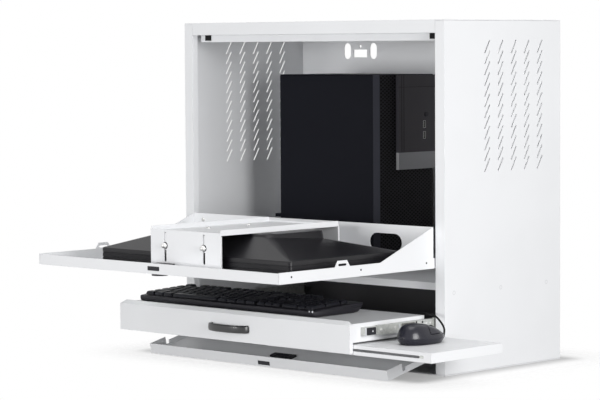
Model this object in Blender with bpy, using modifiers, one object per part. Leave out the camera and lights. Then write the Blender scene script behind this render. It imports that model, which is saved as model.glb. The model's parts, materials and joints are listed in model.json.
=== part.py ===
"""Wall-mounted computer workstation: steel cabinet with its door, drawer, mouse shelf and flap open.

Cabinet coordinates: X to the right, Y back from the front plane, Z up from the underside, in metres.
The root empty moves them so that the world origin lies on the back panel, where it meets the wall.
"""

import math

import bmesh
import bpy
import numpy as np
from mathutils import Matrix, Vector

# Cabinet
CAB_W = 0.650
CAB_H = 0.622
CAB_D = 0.327
SHEET = 0.0015
GAP = 0.0003
STILE_W = 0.021
STILE_RETURN = 0.014
HALF_IN = CAB_W / 2 - STILE_W
WALL_IN = CAB_W / 2 - SHEET
BAR_H = 0.023
STOP_Y = 0.0225
STOP_DROP = 0.0134
STRIKE_HALF = 0.018
STRIKE_Y = (0.003, 0.016)
WALL_POINT_Z = 0.40
SHELF_Z = 0.160
SHELF_FRONT_Y = 0.022
SHELF_LIP = 0.013
SHELF_FLANGE = 0.025
CABLE_X = (WALL_IN - 0.1535, WALL_IN - 0.0735)
CABLE_Y = (CAB_D - 0.060, CAB_D - 0.025)
BUMPER_X = (HALF_IN - 0.029, HALF_IN - 0.015)
BUMPER_H = 0.0102
BUMPER_T = 0.0027

# Cut-outs in the back for hanging it and for cables
HANG_X = CAB_W / 2 - 0.158
HANG_TOP = CAB_H - 0.0393
HANG_APART = 0.0343
HANG_W = 0.018
HANG_H = 0.0317
HANG_BOX_HALF = 0.0175
HANG_BOX_Z = (HANG_TOP - 0.0281, HANG_TOP - 0.0129)
HANG_HOLE_Z = HANG_TOP - 0.0065
HANG_HOLE_R = 0.003

# Slanted slots in the side panels
VENT_COLUMNS = 5
VENT_ROWS = 12
VENT_FIRST_Y = CAB_D - 0.2029
VENT_TOP_Z = CAB_H - 0.0363
VENT_STEP_Y = 0.0373
VENT_STEP_Z = 0.019
VENT_LENGTH = 0.0272
VENT_WIDTH = 0.003
VENT_LEAN = math.radians(31)

# Screws, pins and locks
SCREW_R = 0.002
SCREW_HOLE = SCREW_R + GAP
HEAD_R = 0.004
HEAD_T = 0.0018
PIN_R = 0.0022
EAR_R = 0.008
BOLT_HALF = 0.0145
DOOR_BOLT = (0.0059, 0.0128)
FLAP_BOLT = (0.0030, 0.0100)
BOLT_TAIL = 0.006
BOLT_ROOM = 0.004
NECK_R = 0.010
DISC_R = 0.0145
PLUG_R = 0.006
KEYWAY = (0.0007, 0.0035)
CASE_ROOF = 0.004
CASE_TAIL = 0.0155
DOOR_CASE_HALF = 0.020
FLAP_CASE_HALF = 0.027
DOOR_DISC_T = 0.0034
FLAP_DISC_T = 0.0022

# Upper door
DOOR_HALF = HALF_IN - 0.0028
DOOR_Z = 0.1878
DOOR_FRONT = -0.3894
DOOR_REAR = -0.0025
DOOR_FLANGE = 0.0193
DOOR_WALL = 0.0727
DOOR_KNEE = -0.1405
DOOR_PIVOT = Vector((0, 0.010, 0.198))
DOOR_HOLE_X = (DOOR_HALF - 0.1485, DOOR_HALF - 0.0717)
DOOR_HOLE_Z = (DOOR_Z + 0.0246, DOOR_Z + 0.0567)
TAB_Y = -0.23625
TAB_FOOT = 0.01855
TAB_HEAD = 0.01115
TAB_H = 0.0107
TAB_SLOT_HALF = 0.0105
TAB_SLOT_Z = (0.0014, 0.0054)
WINDOW_X = (-DOOR_HALF + 0.0462, DOOR_HALF - 0.0462)
WINDOW_Y = (DOOR_FRONT + 0.0544, DOOR_REAR - 0.0675)
PANE_MARGIN = 0.0065
PANE_T = 0.003
LOCK_Y = DOOR_FRONT + 0.0159

# Monitor and its bridge
MON_W = 0.468
MON_X = (DOOR_HALF - 0.0232 - MON_W, DOOR_HALF - 0.0232)
MON_MID = sum(MON_X) / 2
MON_Y = (DOOR_FRONT + 0.0504, DOOR_REAR - 0.061)
MON_FACE = DOOR_Z + 0.0054
MON_BAND = 0.0285
MON_TOP = MON_FACE + 0.0638
MON_CORNER = 0.006
MON_ROUND = 0.002
MON_SLOPE_X = 0.104
MON_SLOPE_Y = (0.058, 0.0715)
MON_FALL = (0.0045, 0.015)
MON_PAD_IN = 0.002
MON_PAD_ROUND = 0.018
BEZEL_T = 0.0053
BEZEL_W = 0.014
SCREEN_SUNK = 0.001
BRIDGE_HALF = 0.0865
BRIDGE_X = (MON_MID - BRIDGE_HALF, MON_MID + BRIDGE_HALF)
BRIDGE_FRONT = DOOR_FRONT + 0.0344
BRIDGE_REAR = DOOR_REAR - 0.0585
BRIDGE_TOP = MON_TOP + 0.010
BRIDGE_RIM = 0.005
BRIDGE_LOW = MON_FACE + 0.0073
BRIDGE_BASE = Vector((0, BRIDGE_FRONT, BRIDGE_LOW))
BRIDGE_SLOTS = (MON_MID - 0.050, MON_MID + 0.046)
BRIDGE_SLOT_HALF = 0.0026
BRIDGE_SLOT_ENDS = (0.006, 0.004)
THUMB_Z = BRIDGE_LOW + 0.034
THUMB_L = 0.0075
THUMB_R = 0.0055
FOOT_TOP = 0.0218
FOOT_WINDOW = (0.0045, 0.028, 0.0075)
FOOT_FRONT_AT = DOOR_FRONT + 0.0045
FOOT_REAR_AT = BRIDGE_REAR + 0.040
FOOT_CLEAR = 0.012
FOOT_CUT = 0.024

# Keyboard drawer and its slides
DRAWER_HALF = HALF_IN - 0.0174
DRAWER_TOP = 0.1057
DRAWER_WALL = 0.0322
DRAWER_FRONT = -0.206
DRAWER_REAR = -0.0103
FRONT_HALF = HALF_IN - 0.0156
FRONT_Z = (DRAWER_TOP - 0.0503, DRAWER_TOP + 0.0046)
FRONT_T = 0.0085
FRONT_STRIP = 0.0065
FRONT_LEAN = 0.0073
FRONT_MITRE = 0.009
SLIDE_Z = DRAWER_TOP - 0.0142
SLIDE_OUT = HALF_IN - 0.0043
SLIDE_IN = DRAWER_HALF + 0.0004
SLIDE_T = 0.0012
OUTER_X = (SLIDE_OUT - 0.0042, SLIDE_OUT)
OUTER_HALF = 0.010
OUTER_Y = (0.0, CAB_D - 0.027)
MID_X = (SLIDE_IN + (SLIDE_OUT - SLIDE_IN) * 0.33, SLIDE_OUT - 0.0015)
MID_WEB = 0.0014
MID_HALF = 0.0084
MID_Y = (DRAWER_FRONT + 0.063, DRAWER_FRONT + 0.276)
INNER_X = (SLIDE_IN, MID_X[1] - 0.0018)
INNER_HALF = 0.0068
INNER_Y = (DRAWER_FRONT + 0.030, DRAWER_REAR - 0.0017)
CARRIER_X = (SLIDE_OUT - 0.0006, WALL_IN - GAP)
CARRIER_HALF = 0.0075
CARRIER_IN = 0.020
CARRIER_L = 0.020
LEVER_Y = (INNER_Y[0] + 0.011, MID_Y[0] - 0.0065)
LEVER_T = 0.002
LEVER_HALF = 0.006
HANDLE_HALF = 0.049
HANDLE_OUT = 0.019
HANDLE_Z = FRONT_Z[0] + 0.0171
HANDLE_H = 0.0137
HANDLE_FOOT = 0.008
HANDLE_T = 0.0055
HANDLE_EDGE = 0.0022
BOW_POWER = 0.85

# Keyboard
KEYS_X = (-DRAWER_HALF + 0.0128, -DRAWER_HALF + 0.4589)
KEYS_Y = (DRAWER_FRONT + 0.036, DRAWER_FRONT + 0.163)
DECK_FRONT = 0.012
DECK_REAR = 0.018
CASE_UNDER = (0.003, 0.012)
CASE_LIP = 0.004
KEY = 0.019
KEYS_WIDE = 22.5
KEYS_DEEP = 6.25
KEY_H = 0.006
KEY_SPACE = 0.0008
KEY_TAPER = 0.002
SHEET_T = 0.0008

# Mouse shelf, mouse and cord
SHELF2_X = (0.085, DRAWER_HALF + 0.1769)
SHELF2_Y = (DRAWER_FRONT + 0.009, DRAWER_REAR - 0.0017)
SHELF2_Z = (0.0533, 0.0705)
SLOT_X = (SHELF2_X[0] + 0.020, SHELF2_X[1] - 0.0265)
SLOT_Z = (SHELF2_Z[0] + 0.0064, SHELF2_Z[0] + 0.0109)
STUD_X = (SLOT_X[0] + 0.012, DRAWER_HALF - 0.020)
STUD_R = 0.0018
HANGER_X = (SHELF2_X[0] + 0.012, DRAWER_HALF - 0.035)
HANGER_W = 0.030
HANGER_FOOT = 0.020
HANGER_HEAD = 0.010
MOUSE_XY = (DRAWER_HALF + 0.0734, DRAWER_FRONT + 0.102)
MOUSE_SIZE = (0.029, 0.050, 0.0355)
MOUSE_STATIONS = 25
MOUSE_PEAK = 0.29
MOUSE_REAR = 0.50
MOUSE_NOSE = 0.64
MOUSE_ROUND = 0.10
MOUSE_END = 0.28
MOUSE_OVAL = 2.3
MOUSE_BLUNT = 0.034
MOUSE_ARCH = 0.75
BUTTON_Z = SHELF2_Z[1] + 0.018
BUTTON_Y = MOUSE_XY[1] - 0.002
BUTTON_LIFT = 0.0014
SPINE_HALF = 0.0046
SEAM_HALF = 0.005
WHEEL_R = 0.0105
WHEEL_HALF = 0.003
WHEEL_Y = MOUSE_XY[1] + 0.024
WHEEL_RISE = 0.0190
WELL_HALF = 0.0034
WELL_ROOM = 0.001
RELIEF = 0.006
RELIEF_IN = 0.0045
RELIEF_R = 0.003
RELIEF_Z = 0.0068
ROUTE = (
    (-0.004, -0.0182, 0.0190),
    (-0.020, -0.0152, 0.0280),
    (-0.040, -0.0097, 0.0367),
    (-0.060, -0.0022, 0.0385),
    (-0.080, 0.0093, 0.0370),
    (-0.099, 0.0148, 0.0300),
    (-0.113, 0.0138, 0.0180),
    (-0.123, 0.0023, 0.0095),
    (-0.130, -0.0157, 0.0080),
    (-0.1355, -0.0357, 0.0095),
)
CORD_D = 0.0035
COIL_CENTRE = (DRAWER_HALF - 0.0916, DRAWER_FRONT + 0.106)
COIL_R = 0.012
COIL_STEP = 0.0045
COIL_LAYER = 0.0043
COIL_TURNS = 3
COIL_LAYERS = 4
COIL_POINTS = 24
TAIL = ((0.006, 0.1), (0.012, 0.55), (0.018, 1.0), (0.0225, 1.0))
TAIL_RISE = 0.0026
PLUG_L = 0.022
PLUG_HALF = (0.008, 0.004)
TONGUE_L = 0.012
TONGUE_HALF = (0.006, 0.00225)

# Lower flap, in its own tilted frame: u runs forwards from the pivot, w inwards from the outer face
FLAP_HALF = HALF_IN - 0.0054
FLAP_PIVOT = Vector((0, 0.024, 0.058))
FLAP_TILT = math.radians(12.8)
FLAP_REACH = 0.152
FLAP_TAIL = 0.050
FLAP_TAPER = 0.020
FLAP_DEPTH = 0.0235
FLAP_FLANGE = 0.019
FLAP_ARM = 0.011
FLAP_NOTCH = (FLAP_REACH - 0.048, FLAP_REACH - 0.040)
FLAP_LOCK_U = FLAP_REACH - 0.040
FLAP_CASE_U = (FLAP_REACH - 0.0025, FLAP_LOCK_U - 0.018)
FLAP_HEAD_U = (FLAP_REACH - 0.013, FLAP_LOCK_U - 0.003)
FLAP_PLATE = 0.0056
FLAP_TAIL_TOP = 0.0043
BRACKET = 0.012

# Computer tower
PC_X = (-0.189, 0.0672)
PC_Y = (CAB_D - 0.207, CAB_D - 0.057)
PC_TOP = SHELF_Z + 0.3635
PC_FEET = 0.005
PC_FOOT_R = 0.011
PC_FOOT_IN = (0.025, 0.022)
PC_BEZEL = 0.0167
PC_COVER_IN = (0.001, 0.002)
IO_Y = (PC_Y[0] + 0.045, PC_Y[1] - 0.0008)
IO_Z = (PC_TOP - 0.1767, PC_TOP - 0.0013)
IO_OUT = 0.0075
PC_BUTTON = (PC_Y[0] + 0.1227, PC_TOP - 0.0750)
PC_BUTTON_R = 0.005
PC_BUTTON_OUT = 0.0012
PC_BUTTON_IN = 0.002
PC_BUTTON_BORE = 0.005
PORT_SIDE = 0.0055
PORT_DROPS = (0.0186, 0.0389)
PORT_HALF = (0.0033, 0.0066)
PORT_DEEP = 0.006

for old in list(bpy.data.objects):
    bpy.data.objects.remove(old, do_unlink=True)
scene = bpy.context.scene
parts = bpy.data.collections.new("wall_computer_workstation")
cutters = bpy.data.collections.new("cutters")
scene.collection.children.link(parts)
scene.collection.children.link(cutters)


def empty(name, location, parent=None, turn=0.0):
    """An empty that carries parts, turned about X."""
    made = bpy.data.objects.new(name, None)
    made.location = location
    made.rotation_euler = (turn, 0, 0)
    made.parent = parent
    parts.objects.link(made)
    return made


ROOT = empty("workstation_frame", (0, -CAB_D, -WALL_POINT_Z))
FLAP = empty("flap_frame", FLAP_PIVOT, ROOT, FLAP_TILT)


def mesh_from(bm, name):
    """A mesh from a bmesh, with its faces turned outwards."""
    bmesh.ops.recalc_face_normals(bm, faces=bm.faces)
    mesh = bpy.data.meshes.new(name)
    bm.to_mesh(mesh)
    bm.free()
    return mesh


def add_box(bm, x, y, z):
    """One box between pairs of coordinates."""
    low = Vector((min(x), min(y), min(z)))
    size = Vector((max(x), max(y), max(z))) - low
    place = Matrix.Translation(low + size / 2) @ Matrix.Diagonal((*size, 1))
    return bmesh.ops.create_cube(bm, size=1, matrix=place)["verts"]


def boxes(*sides):
    """A mesh of separate boxes, each given as three pairs of coordinates."""
    bm = bmesh.new()
    for x, y, z in sides:
        add_box(bm, x, y, z)
    return mesh_from(bm, "boxes")


TURNS = {
    "X": Matrix.Rotation(math.pi / 2, 4, "Y"),
    "Y": Matrix.Rotation(-math.pi / 2, 4, "X"),
    "Z": Matrix.Identity(4),
}


def add_rod(bm, axis, centre, radius, span, segments=24):
    """One cylinder along an axis: centre is a point on it, and span its ends."""
    place = Vector(centre)
    place["XYZ".index(axis)] = sum(span) / 2
    bmesh.ops.create_cone(
        bm,
        cap_ends=True,
        segments=segments,
        radius1=radius,
        radius2=radius,
        depth=abs(span[1] - span[0]),
        matrix=Matrix.Translation(place) @ TURNS[axis],
    )


def rods(axis, *list_of_rods, segments=24):
    """A mesh of separate cylinders, each a centre, a radius and a span."""
    bm = bmesh.new()
    for centre, radius, span in list_of_rods:
        add_rod(bm, axis, centre, radius, span, segments)
    return mesh_from(bm, "rods")


PLANES = {
    "X": Matrix(((0, 0, 1, 0), (1, 0, 0, 0), (0, 1, 0, 0), (0, 0, 0, 1))),
    "Y": Matrix(((0, 1, 0, 0), (0, 0, 1, 0), (1, 0, 0, 0), (0, 0, 0, 1))),
    "Z": Matrix.Identity(4),
}


def outline(axis, span, *loops):
    """A flat outline extruded along an axis. X takes (y, z) points, Y takes (z, x) and Z takes (x, y)."""
    curve = bpy.data.curves.new("outline", "CURVE")
    curve.dimensions = "2D"
    curve.fill_mode = "BOTH"
    curve.extrude = abs(span[1] - span[0]) / 2
    for loop in loops:
        spline = curve.splines.new("POLY")
        spline.points.add(len(loop) - 1)
        for point, place in zip(spline.points, loop):
            point.co = (*place, 0, 1)
        spline.use_cyclic_u = True
    drawn = bpy.data.objects.new("outline", curve)
    scene.collection.objects.link(drawn)
    graph = bpy.context.evaluated_depsgraph_get()
    mesh = bpy.data.meshes.new_from_object(drawn.evaluated_get(graph))
    bpy.data.objects.remove(drawn)
    bm = bmesh.new()
    bm.from_mesh(mesh)
    bmesh.ops.remove_doubles(bm, verts=bm.verts, dist=1e-6)
    bmesh.ops.transform(bm, verts=bm.verts, matrix=Matrix.Translation((0, 0, sum(span) / 2)))
    bmesh.ops.transform(bm, verts=bm.verts, matrix=PLANES[axis])
    return mesh_from(bm, "outline")


def mirrored(mesh):
    """The same mesh on the other side of X = 0."""
    bm = bmesh.new()
    bm.from_mesh(mesh)
    bmesh.ops.transform(bm, verts=bm.verts, matrix=Matrix.Diagonal((-1, 1, 1, 1)))
    return mesh_from(bm, "mirrored")


def joined(*meshes):
    """One mesh of several."""
    bm = bmesh.new()
    for mesh in meshes:
        bm.from_mesh(mesh)
    return mesh_from(bm, "joined")


def arc(centre, radius, start, end, count):
    """Points on an arc, angles in degrees."""
    angles = np.radians(np.linspace(start, end, count))
    return [(centre[0] + radius * math.cos(a), centre[1] + radius * math.sin(a)) for a in angles]


def oblong(low, high, count=9):
    """The outline of an oblong hole with round ends, from its two opposite corners."""
    (x0, y0), (x1, y1) = low, high
    if x1 - x0 > y1 - y0:
        r = (y1 - y0) / 2
        return arc((x1 - r, y0 + r), r, -90, 90, count) + arc((x0 + r, y0 + r), r, 90, 270, count)
    r = (x1 - x0) / 2
    return arc((x0 + r, y1 - r), r, 0, 180, count) + arc((x0 + r, y0 + r), r, 180, 360, count)


def material(name, colour, roughness, metallic=0.0):
    """A plain Principled material; colour is sRGB from 0 to 255."""
    made = bpy.data.materials.new(name)
    made.use_nodes = True
    shader = made.node_tree.nodes["Principled BSDF"]
    linear = [(c / 255) ** 2.2 for c in colour]
    shader.inputs["Base Color"].default_value = (*linear, 1)
    shader.inputs["Roughness"].default_value = roughness
    shader.inputs["Metallic"].default_value = metallic
    made.diffuse_color = (*linear, 1)
    return made


PAINT = ((236, 238, 238), 0.45, 0.0)
ZINC = ((172, 176, 168), 0.35, 0.9)
STEEL = ((190, 190, 188), 0.3, 1.0)
BLACK = ((28, 29, 33), 0.5, 0.0)
RUBBER = ((20, 20, 20), 0.8, 0.0)
GREY = ((64, 64, 72), 0.45, 0.0)


def part(name, mesh, finish, pivot=(0, 0, 0), frame=ROOT):
    """A named part. Its mesh is in the frame's coordinates, and its origin goes to the pivot."""
    mesh = mesh.copy()
    mesh.name = name
    mesh.transform(Matrix.Translation(-Vector(pivot)))
    made = bpy.data.objects.new(name, mesh)
    made.location = pivot
    made.parent = frame
    mesh.materials.clear()
    mesh.materials.append(material(name, *finish))
    parts.objects.link(made)
    return made


def change(obj, mesh, operation="DIFFERENCE", frame=ROOT):
    """Cuts a part with a mesh, joins the mesh to it, or keeps only what lies inside the mesh."""
    tool = bpy.data.objects.new(f"{obj.name}_cutter", mesh)
    tool.parent = frame
    tool.hide_render = True
    tool.display_type = "WIRE"
    cutters.objects.link(tool)
    cut = obj.modifiers.new(operation.lower(), "BOOLEAN")
    cut.operation = operation
    cut.solver = "EXACT"
    cut.object = tool


def both(x0, x1):
    """A span of X and its mirror image."""
    return (x0, x1), (-x1, -x0)


def make_side_panels():
    """Folded side sheets with their front stiles, vents and holes."""
    edge = CAB_W / 2
    fold = [
        (edge, 0),
        (edge, CAB_D),
        (WALL_IN, CAB_D),
        (WALL_IN, SHEET),
        (HALF_IN + SHEET, SHEET),
        (HALF_IN + SHEET, STILE_RETURN),
        (HALF_IN, STILE_RETURN),
        (HALF_IN, 0),
    ]
    sheet = outline("Z", (SHEET + GAP, CAB_H - SHEET - GAP), fold)
    bm = bmesh.new()
    for column in range(VENT_COLUMNS):
        for row in range(VENT_ROWS):
            top = Vector((edge, VENT_FIRST_Y + column * VENT_STEP_Y, VENT_TOP_Z - row * VENT_STEP_Z))
            lean = Matrix.Rotation(-VENT_LEAN, 4, "X")
            middle = top - lean @ Vector((0, 0, VENT_LENGTH / 2))
            size = Matrix.Diagonal((SHEET * 4, VENT_WIDTH, VENT_LENGTH, 1))
            bmesh.ops.create_cube(bm, size=1, matrix=Matrix.Translation(middle) @ lean @ size)
    pivot = (HALF_IN, DOOR_PIVOT.y, DOOR_PIVOT.z)
    add_rod(bm, "X", pivot, PIN_R + GAP, (HALF_IN - SHEET, HALF_IN + SHEET * 2))
    holes = mesh_from(bm, "holes")
    right = part("right_side_panel", sheet, PAINT)
    change(right, holes)
    left = part("left_side_panel", mirrored(sheet), PAINT)
    change(left, mirrored(holes))


def make_shell():
    """Top with its front bar and stop lip, bottom, and back with its cut-outs."""
    bar = CAB_H - BAR_H
    profile = [
        (0, CAB_H),
        (0, bar),
        (STOP_Y, bar),
        (STOP_Y, bar - STOP_DROP),
        (STOP_Y + SHEET, bar - STOP_DROP),
        (STOP_Y + SHEET, bar + SHEET),
        (SHEET, bar + SHEET),
        (SHEET, CAB_H - SHEET),
        (CAB_D, CAB_H - SHEET),
        (CAB_D, CAB_H),
    ]
    top = part("top_panel", outline("X", (-CAB_W / 2, CAB_W / 2), profile), PAINT)
    corner = HALF_IN - GAP
    deep = (-SHEET, STOP_Y + SHEET * 3)
    low = (bar - STOP_DROP * 2, CAB_H - SHEET)
    change(top, boxes(*[(x, deep, low) for x in both(corner, CAB_W)]))
    strike = ((-STRIKE_HALF, STRIKE_HALF), STRIKE_Y, (bar - SHEET, bar + SHEET * 2))
    change(top, boxes(strike))
    part("bottom_panel", boxes(((-CAB_W / 2, CAB_W / 2), (0, CAB_D), (0, SHEET))), PAINT)
    width = WALL_IN - GAP
    sheet = boxes(((-width, width), (CAB_D - SHEET, CAB_D), (SHEET + GAP, CAB_H - SHEET - GAP)))
    back = part("back_panel", sheet, PAINT)
    span = (CAB_D - SHEET * 3, CAB_D + SHEET)
    holes = []
    for centre in (-HANG_X, HANG_X):
        for x in (centre - HANG_APART, centre + HANG_APART):
            corners = (x - HANG_W / 2, HANG_TOP - HANG_H), (x + HANG_W / 2, HANG_TOP)
            holes.append(outline("Y", span, [(z, x) for x, z in oblong(*corners)]))
        holes.append(boxes(((centre - HANG_BOX_HALF, centre + HANG_BOX_HALF), span, HANG_BOX_Z)))
        holes.append(rods("Y", ((centre, 0, HANG_HOLE_Z), HANG_HOLE_R, span)))
    change(back, joined(*holes))


def make_shelf():
    """Middle shelf that the computer stands on, and the rubber door stops."""
    x = WALL_IN - GAP
    y = (SHELF_FRONT_Y, CAB_D - SHEET - GAP)
    body = boxes(((-x, x), y, (SHELF_Z - SHELF_FLANGE, SHELF_Z)))
    shelf = part("middle_shelf", body, PAINT)
    under = (SHELF_Z - SHELF_FLANGE * 2, SHELF_Z - SHEET)
    change(shelf, boxes(((-x + SHEET, x - SHEET), (y[0] + SHEET, y[1] - SHEET), under)))
    front = (y[0] - SHEET, y[0] + SHEET * 2)
    change(shelf, boxes(((-x * 2, x * 2), front, (SHELF_Z - SHELF_FLANGE * 2, SHELF_Z - SHELF_LIP))))
    cable = oblong((CABLE_X[0], CABLE_Y[0]), (CABLE_X[1], CABLE_Y[1]))
    change(shelf, outline("Z", (SHELF_Z - SHEET * 2, SHELF_Z + SHEET), cable))
    y = (STOP_Y - GAP, STOP_Y - GAP - BUMPER_T)
    bar = CAB_H - BAR_H - GAP
    for side, x in zip(("right", "left"), both(*BUMPER_X)):
        part(f"door_bumper_{side}", boxes((x, y, (bar - BUMPER_H, bar))), RUBBER)


def add_screw(bm, axis, place, face, head, end, head_r=HEAD_R, shank_r=SCREW_R):
    """A screw of two stacked cylinders: face is where its head begins, head its signed height."""
    profile = [(shank_r, end), (shank_r, face), (head_r, face), (head_r, face + head)]
    rings = []
    index = "XYZ".index(axis)
    count = 16
    for radius, along in profile:
        ring = []
        for k in range(count):
            angle = 2 * math.pi * k / count
            point = Vector(place)
            point[(index + 1) % 3] += radius * math.cos(angle)
            point[(index + 2) % 3] += radius * math.sin(angle)
            point[index] = along
            ring.append(bm.verts.new(point))
        rings.append(ring)
    loft(bm, rings)


def loft(bm, rings):
    """Faces between rings of equal count, with both ends closed."""
    count = len(rings[0])
    for near, far in zip(rings, rings[1:]):
        for k in range(count):
            bm.faces.new((near[k], near[(k + 1) % count], far[(k + 1) % count], far[k]))
    bm.faces.new(rings[0])
    bm.faces.new(rings[-1])


def make_hinges():
    """Pins of the door, and the brackets behind the stiles that carry the flap on their pins."""
    y0 = STILE_RETURN + GAP
    y1 = FLAP_PIVOT.y + BRACKET
    plan = [
        (HALF_IN, y0),
        (HALF_IN + SHEET, y0),
        (HALF_IN + SHEET, y1 - SHEET),
        (WALL_IN - GAP, y1 - SHEET),
        (WALL_IN - GAP, y1 + BRACKET),
        (WALL_IN - GAP - SHEET, y1 + BRACKET),
        (WALL_IN - GAP - SHEET, y1),
        (HALF_IN, y1),
    ]
    bracket = outline("Z", (FLAP_PIVOT.z - BRACKET, FLAP_PIVOT.z + BRACKET), plan)
    for side, s in (("right", 1), ("left", -1)):
        outer = s * (HALF_IN + SHEET + GAP)
        bm = bmesh.new()
        tip = s * (DOOR_HALF - SHEET * 3)
        add_screw(bm, "X", (0, *DOOR_PIVOT.yz), outer, s * HEAD_T, tip, HEAD_R, PIN_R)
        part(f"door_hinge_pin_{side}", mesh_from(bm, "pin"), STEEL)
        hinge = part(f"flap_hinge_{side}", bracket if s > 0 else mirrored(bracket), ZINC)
        span = (s * (FLAP_HALF - SHEET * 3), s * (HALF_IN + SHEET / 2))
        change(hinge, rods("X", ((0, *FLAP_PIVOT.yz), PIN_R, span)), "UNION")


def make_slides():
    """Telescopic slides: the cabinet's member, the middle one and the drawer's, on each side."""
    def channel(x, half, web, y):
        """A C profile, open towards the drawer."""
        loop = [
            (SLIDE_Z - half, x[0]),
            (SLIDE_Z - half, x[1]),
            (SLIDE_Z + half, x[1]),
            (SLIDE_Z + half, x[0]),
            (SLIDE_Z + half - SLIDE_T, x[0]),
            (SLIDE_Z + half - SLIDE_T, x[1] - web),
            (SLIDE_Z - half + SLIDE_T, x[1] - web),
            (SLIDE_Z - half + SLIDE_T, x[0]),
        ]
        return outline("Y", y, loop)

    outer = channel(OUTER_X, OUTER_HALF, SLIDE_T, OUTER_Y)
    middle = channel(MID_X, MID_HALF, MID_WEB, MID_Y)
    bar = boxes((INNER_X, INNER_Y, (SLIDE_Z - INNER_HALF, SLIDE_Z + INNER_HALF)))
    near = OUTER_Y[0] + CARRIER_IN * 2
    far = OUTER_Y[1] - CARRIER_IN
    carrier_z = (SLIDE_Z - CARRIER_HALF, SLIDE_Z + CARRIER_HALF)
    carrier_y = (near, near + CARRIER_L), (far - CARRIER_L, far)
    carrier = boxes(*[(CARRIER_X, y, carrier_z) for y in carrier_y])
    lever_x = (INNER_X[1] + GAP, INNER_X[1] + GAP + LEVER_T)
    lever = boxes((lever_x, LEVER_Y, (SLIDE_Z - LEVER_HALF, SLIDE_Z + LEVER_HALF)))
    for side, turn in (("right", lambda mesh: mesh), ("left", mirrored)):
        change(part(f"slide_outer_{side}", turn(outer), ZINC), turn(carrier.copy()), "UNION")
        part(f"slide_release_lever_{side}", turn(lever), BLACK)
        part(f"slide_middle_{side}", turn(middle), ZINC)
        part(f"slide_inner_{side}", turn(bar), ZINC)


def make_door():
    """Door pan with its window, two cheeks with gussets, and the pane."""
    inside = DOOR_HALF - SHEET - GAP
    top = DOOR_Z + DOOR_FLANGE
    wall_top = DOOR_Z + DOOR_WALL
    pan = boxes(((-inside, inside), (DOOR_FRONT, DOOR_REAR), (DOOR_Z, wall_top)))
    pan = part("door_pan", pan, PAINT, DOOR_PIVOT)
    hollow_x = (-inside + SHEET, inside - SHEET)
    hollow_y = (DOOR_FRONT + SHEET, DOOR_REAR - SHEET)
    change(pan, boxes((hollow_x, hollow_y, (DOOR_Z + SHEET, wall_top + SHEET))))
    over = (top - GAP * 3, wall_top + SHEET * 2)
    change(pan, boxes(((-1, 1), (DOOR_FRONT - SHEET, DOOR_REAR - SHEET), over)))
    change(pan, boxes((WINDOW_X, WINDOW_Y, (DOOR_Z - SHEET, DOOR_Z + SHEET * 2))))
    holes = []
    for x in both(*DOOR_HOLE_X):
        loop = [(z, x) for x, z in oblong((x[0], DOOR_HOLE_Z[0]), (x[1], DOOR_HOLE_Z[1]))]
        holes.append(outline("Y", (DOOR_REAR - SHEET * 3, DOOR_REAR + SHEET * 2), loop))
    bolt = (-BOLT_HALF - GAP, BOLT_HALF + GAP)
    bolt_z = (DOOR_Z + DOOR_BOLT[0] - GAP, DOOR_Z + DOOR_BOLT[1] + GAP)
    holes.append(boxes((bolt, (DOOR_FRONT - SHEET, DOOR_FRONT + SHEET * 2), bolt_z)))
    holes.append(rods("Z", ((0, LOCK_Y, 0), NECK_R + GAP, (DOOR_Z - SHEET, DOOR_Z + SHEET * 2))))
    change(pan, joined(*holes))
    ear = DOOR_PIVOT.yz
    side = [
        (DOOR_FRONT, DOOR_Z),
        (DOOR_REAR, DOOR_Z),
        *arc(ear, EAR_R, -90, 90, 13),
        (DOOR_REAR, ear[1] + EAR_R),
        (DOOR_REAR, wall_top),
        (DOOR_KNEE, top),
        (TAB_Y + TAB_FOOT, top),
        (TAB_Y + TAB_HEAD, top + TAB_H),
        (TAB_Y - TAB_HEAD, top + TAB_H),
        (TAB_Y - TAB_FOOT, top),
        (DOOR_FRONT, top),
    ]
    pin = arc(ear, PIN_R + GAP, 0, 337.5, 16)
    corners = [(TAB_Y + s * TAB_SLOT_HALF, top + z) for s, z in zip((-1, 1), TAB_SLOT_Z)]
    slot = oblong(*corners, 5)
    cheek = outline("X", (inside + GAP, DOOR_HALF), side, pin, slot)
    for name, mesh in (("door_cheek_right", cheek), ("door_cheek_left", mirrored(cheek))):
        part(name, mesh, PAINT, DOOR_PIVOT)
    pane_x = (WINDOW_X[0] - PANE_MARGIN, WINDOW_X[1] + PANE_MARGIN)
    pane_y = (WINDOW_Y[0] - PANE_MARGIN, WINDOW_Y[1] + PANE_MARGIN)
    sill = DOOR_Z + SHEET + GAP
    pane = boxes((pane_x, pane_y, (sill, sill + PANE_T)))
    part("door_window", pane, ((205, 214, 214), 0.1, 0.0), DOOR_PIVOT)


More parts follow.
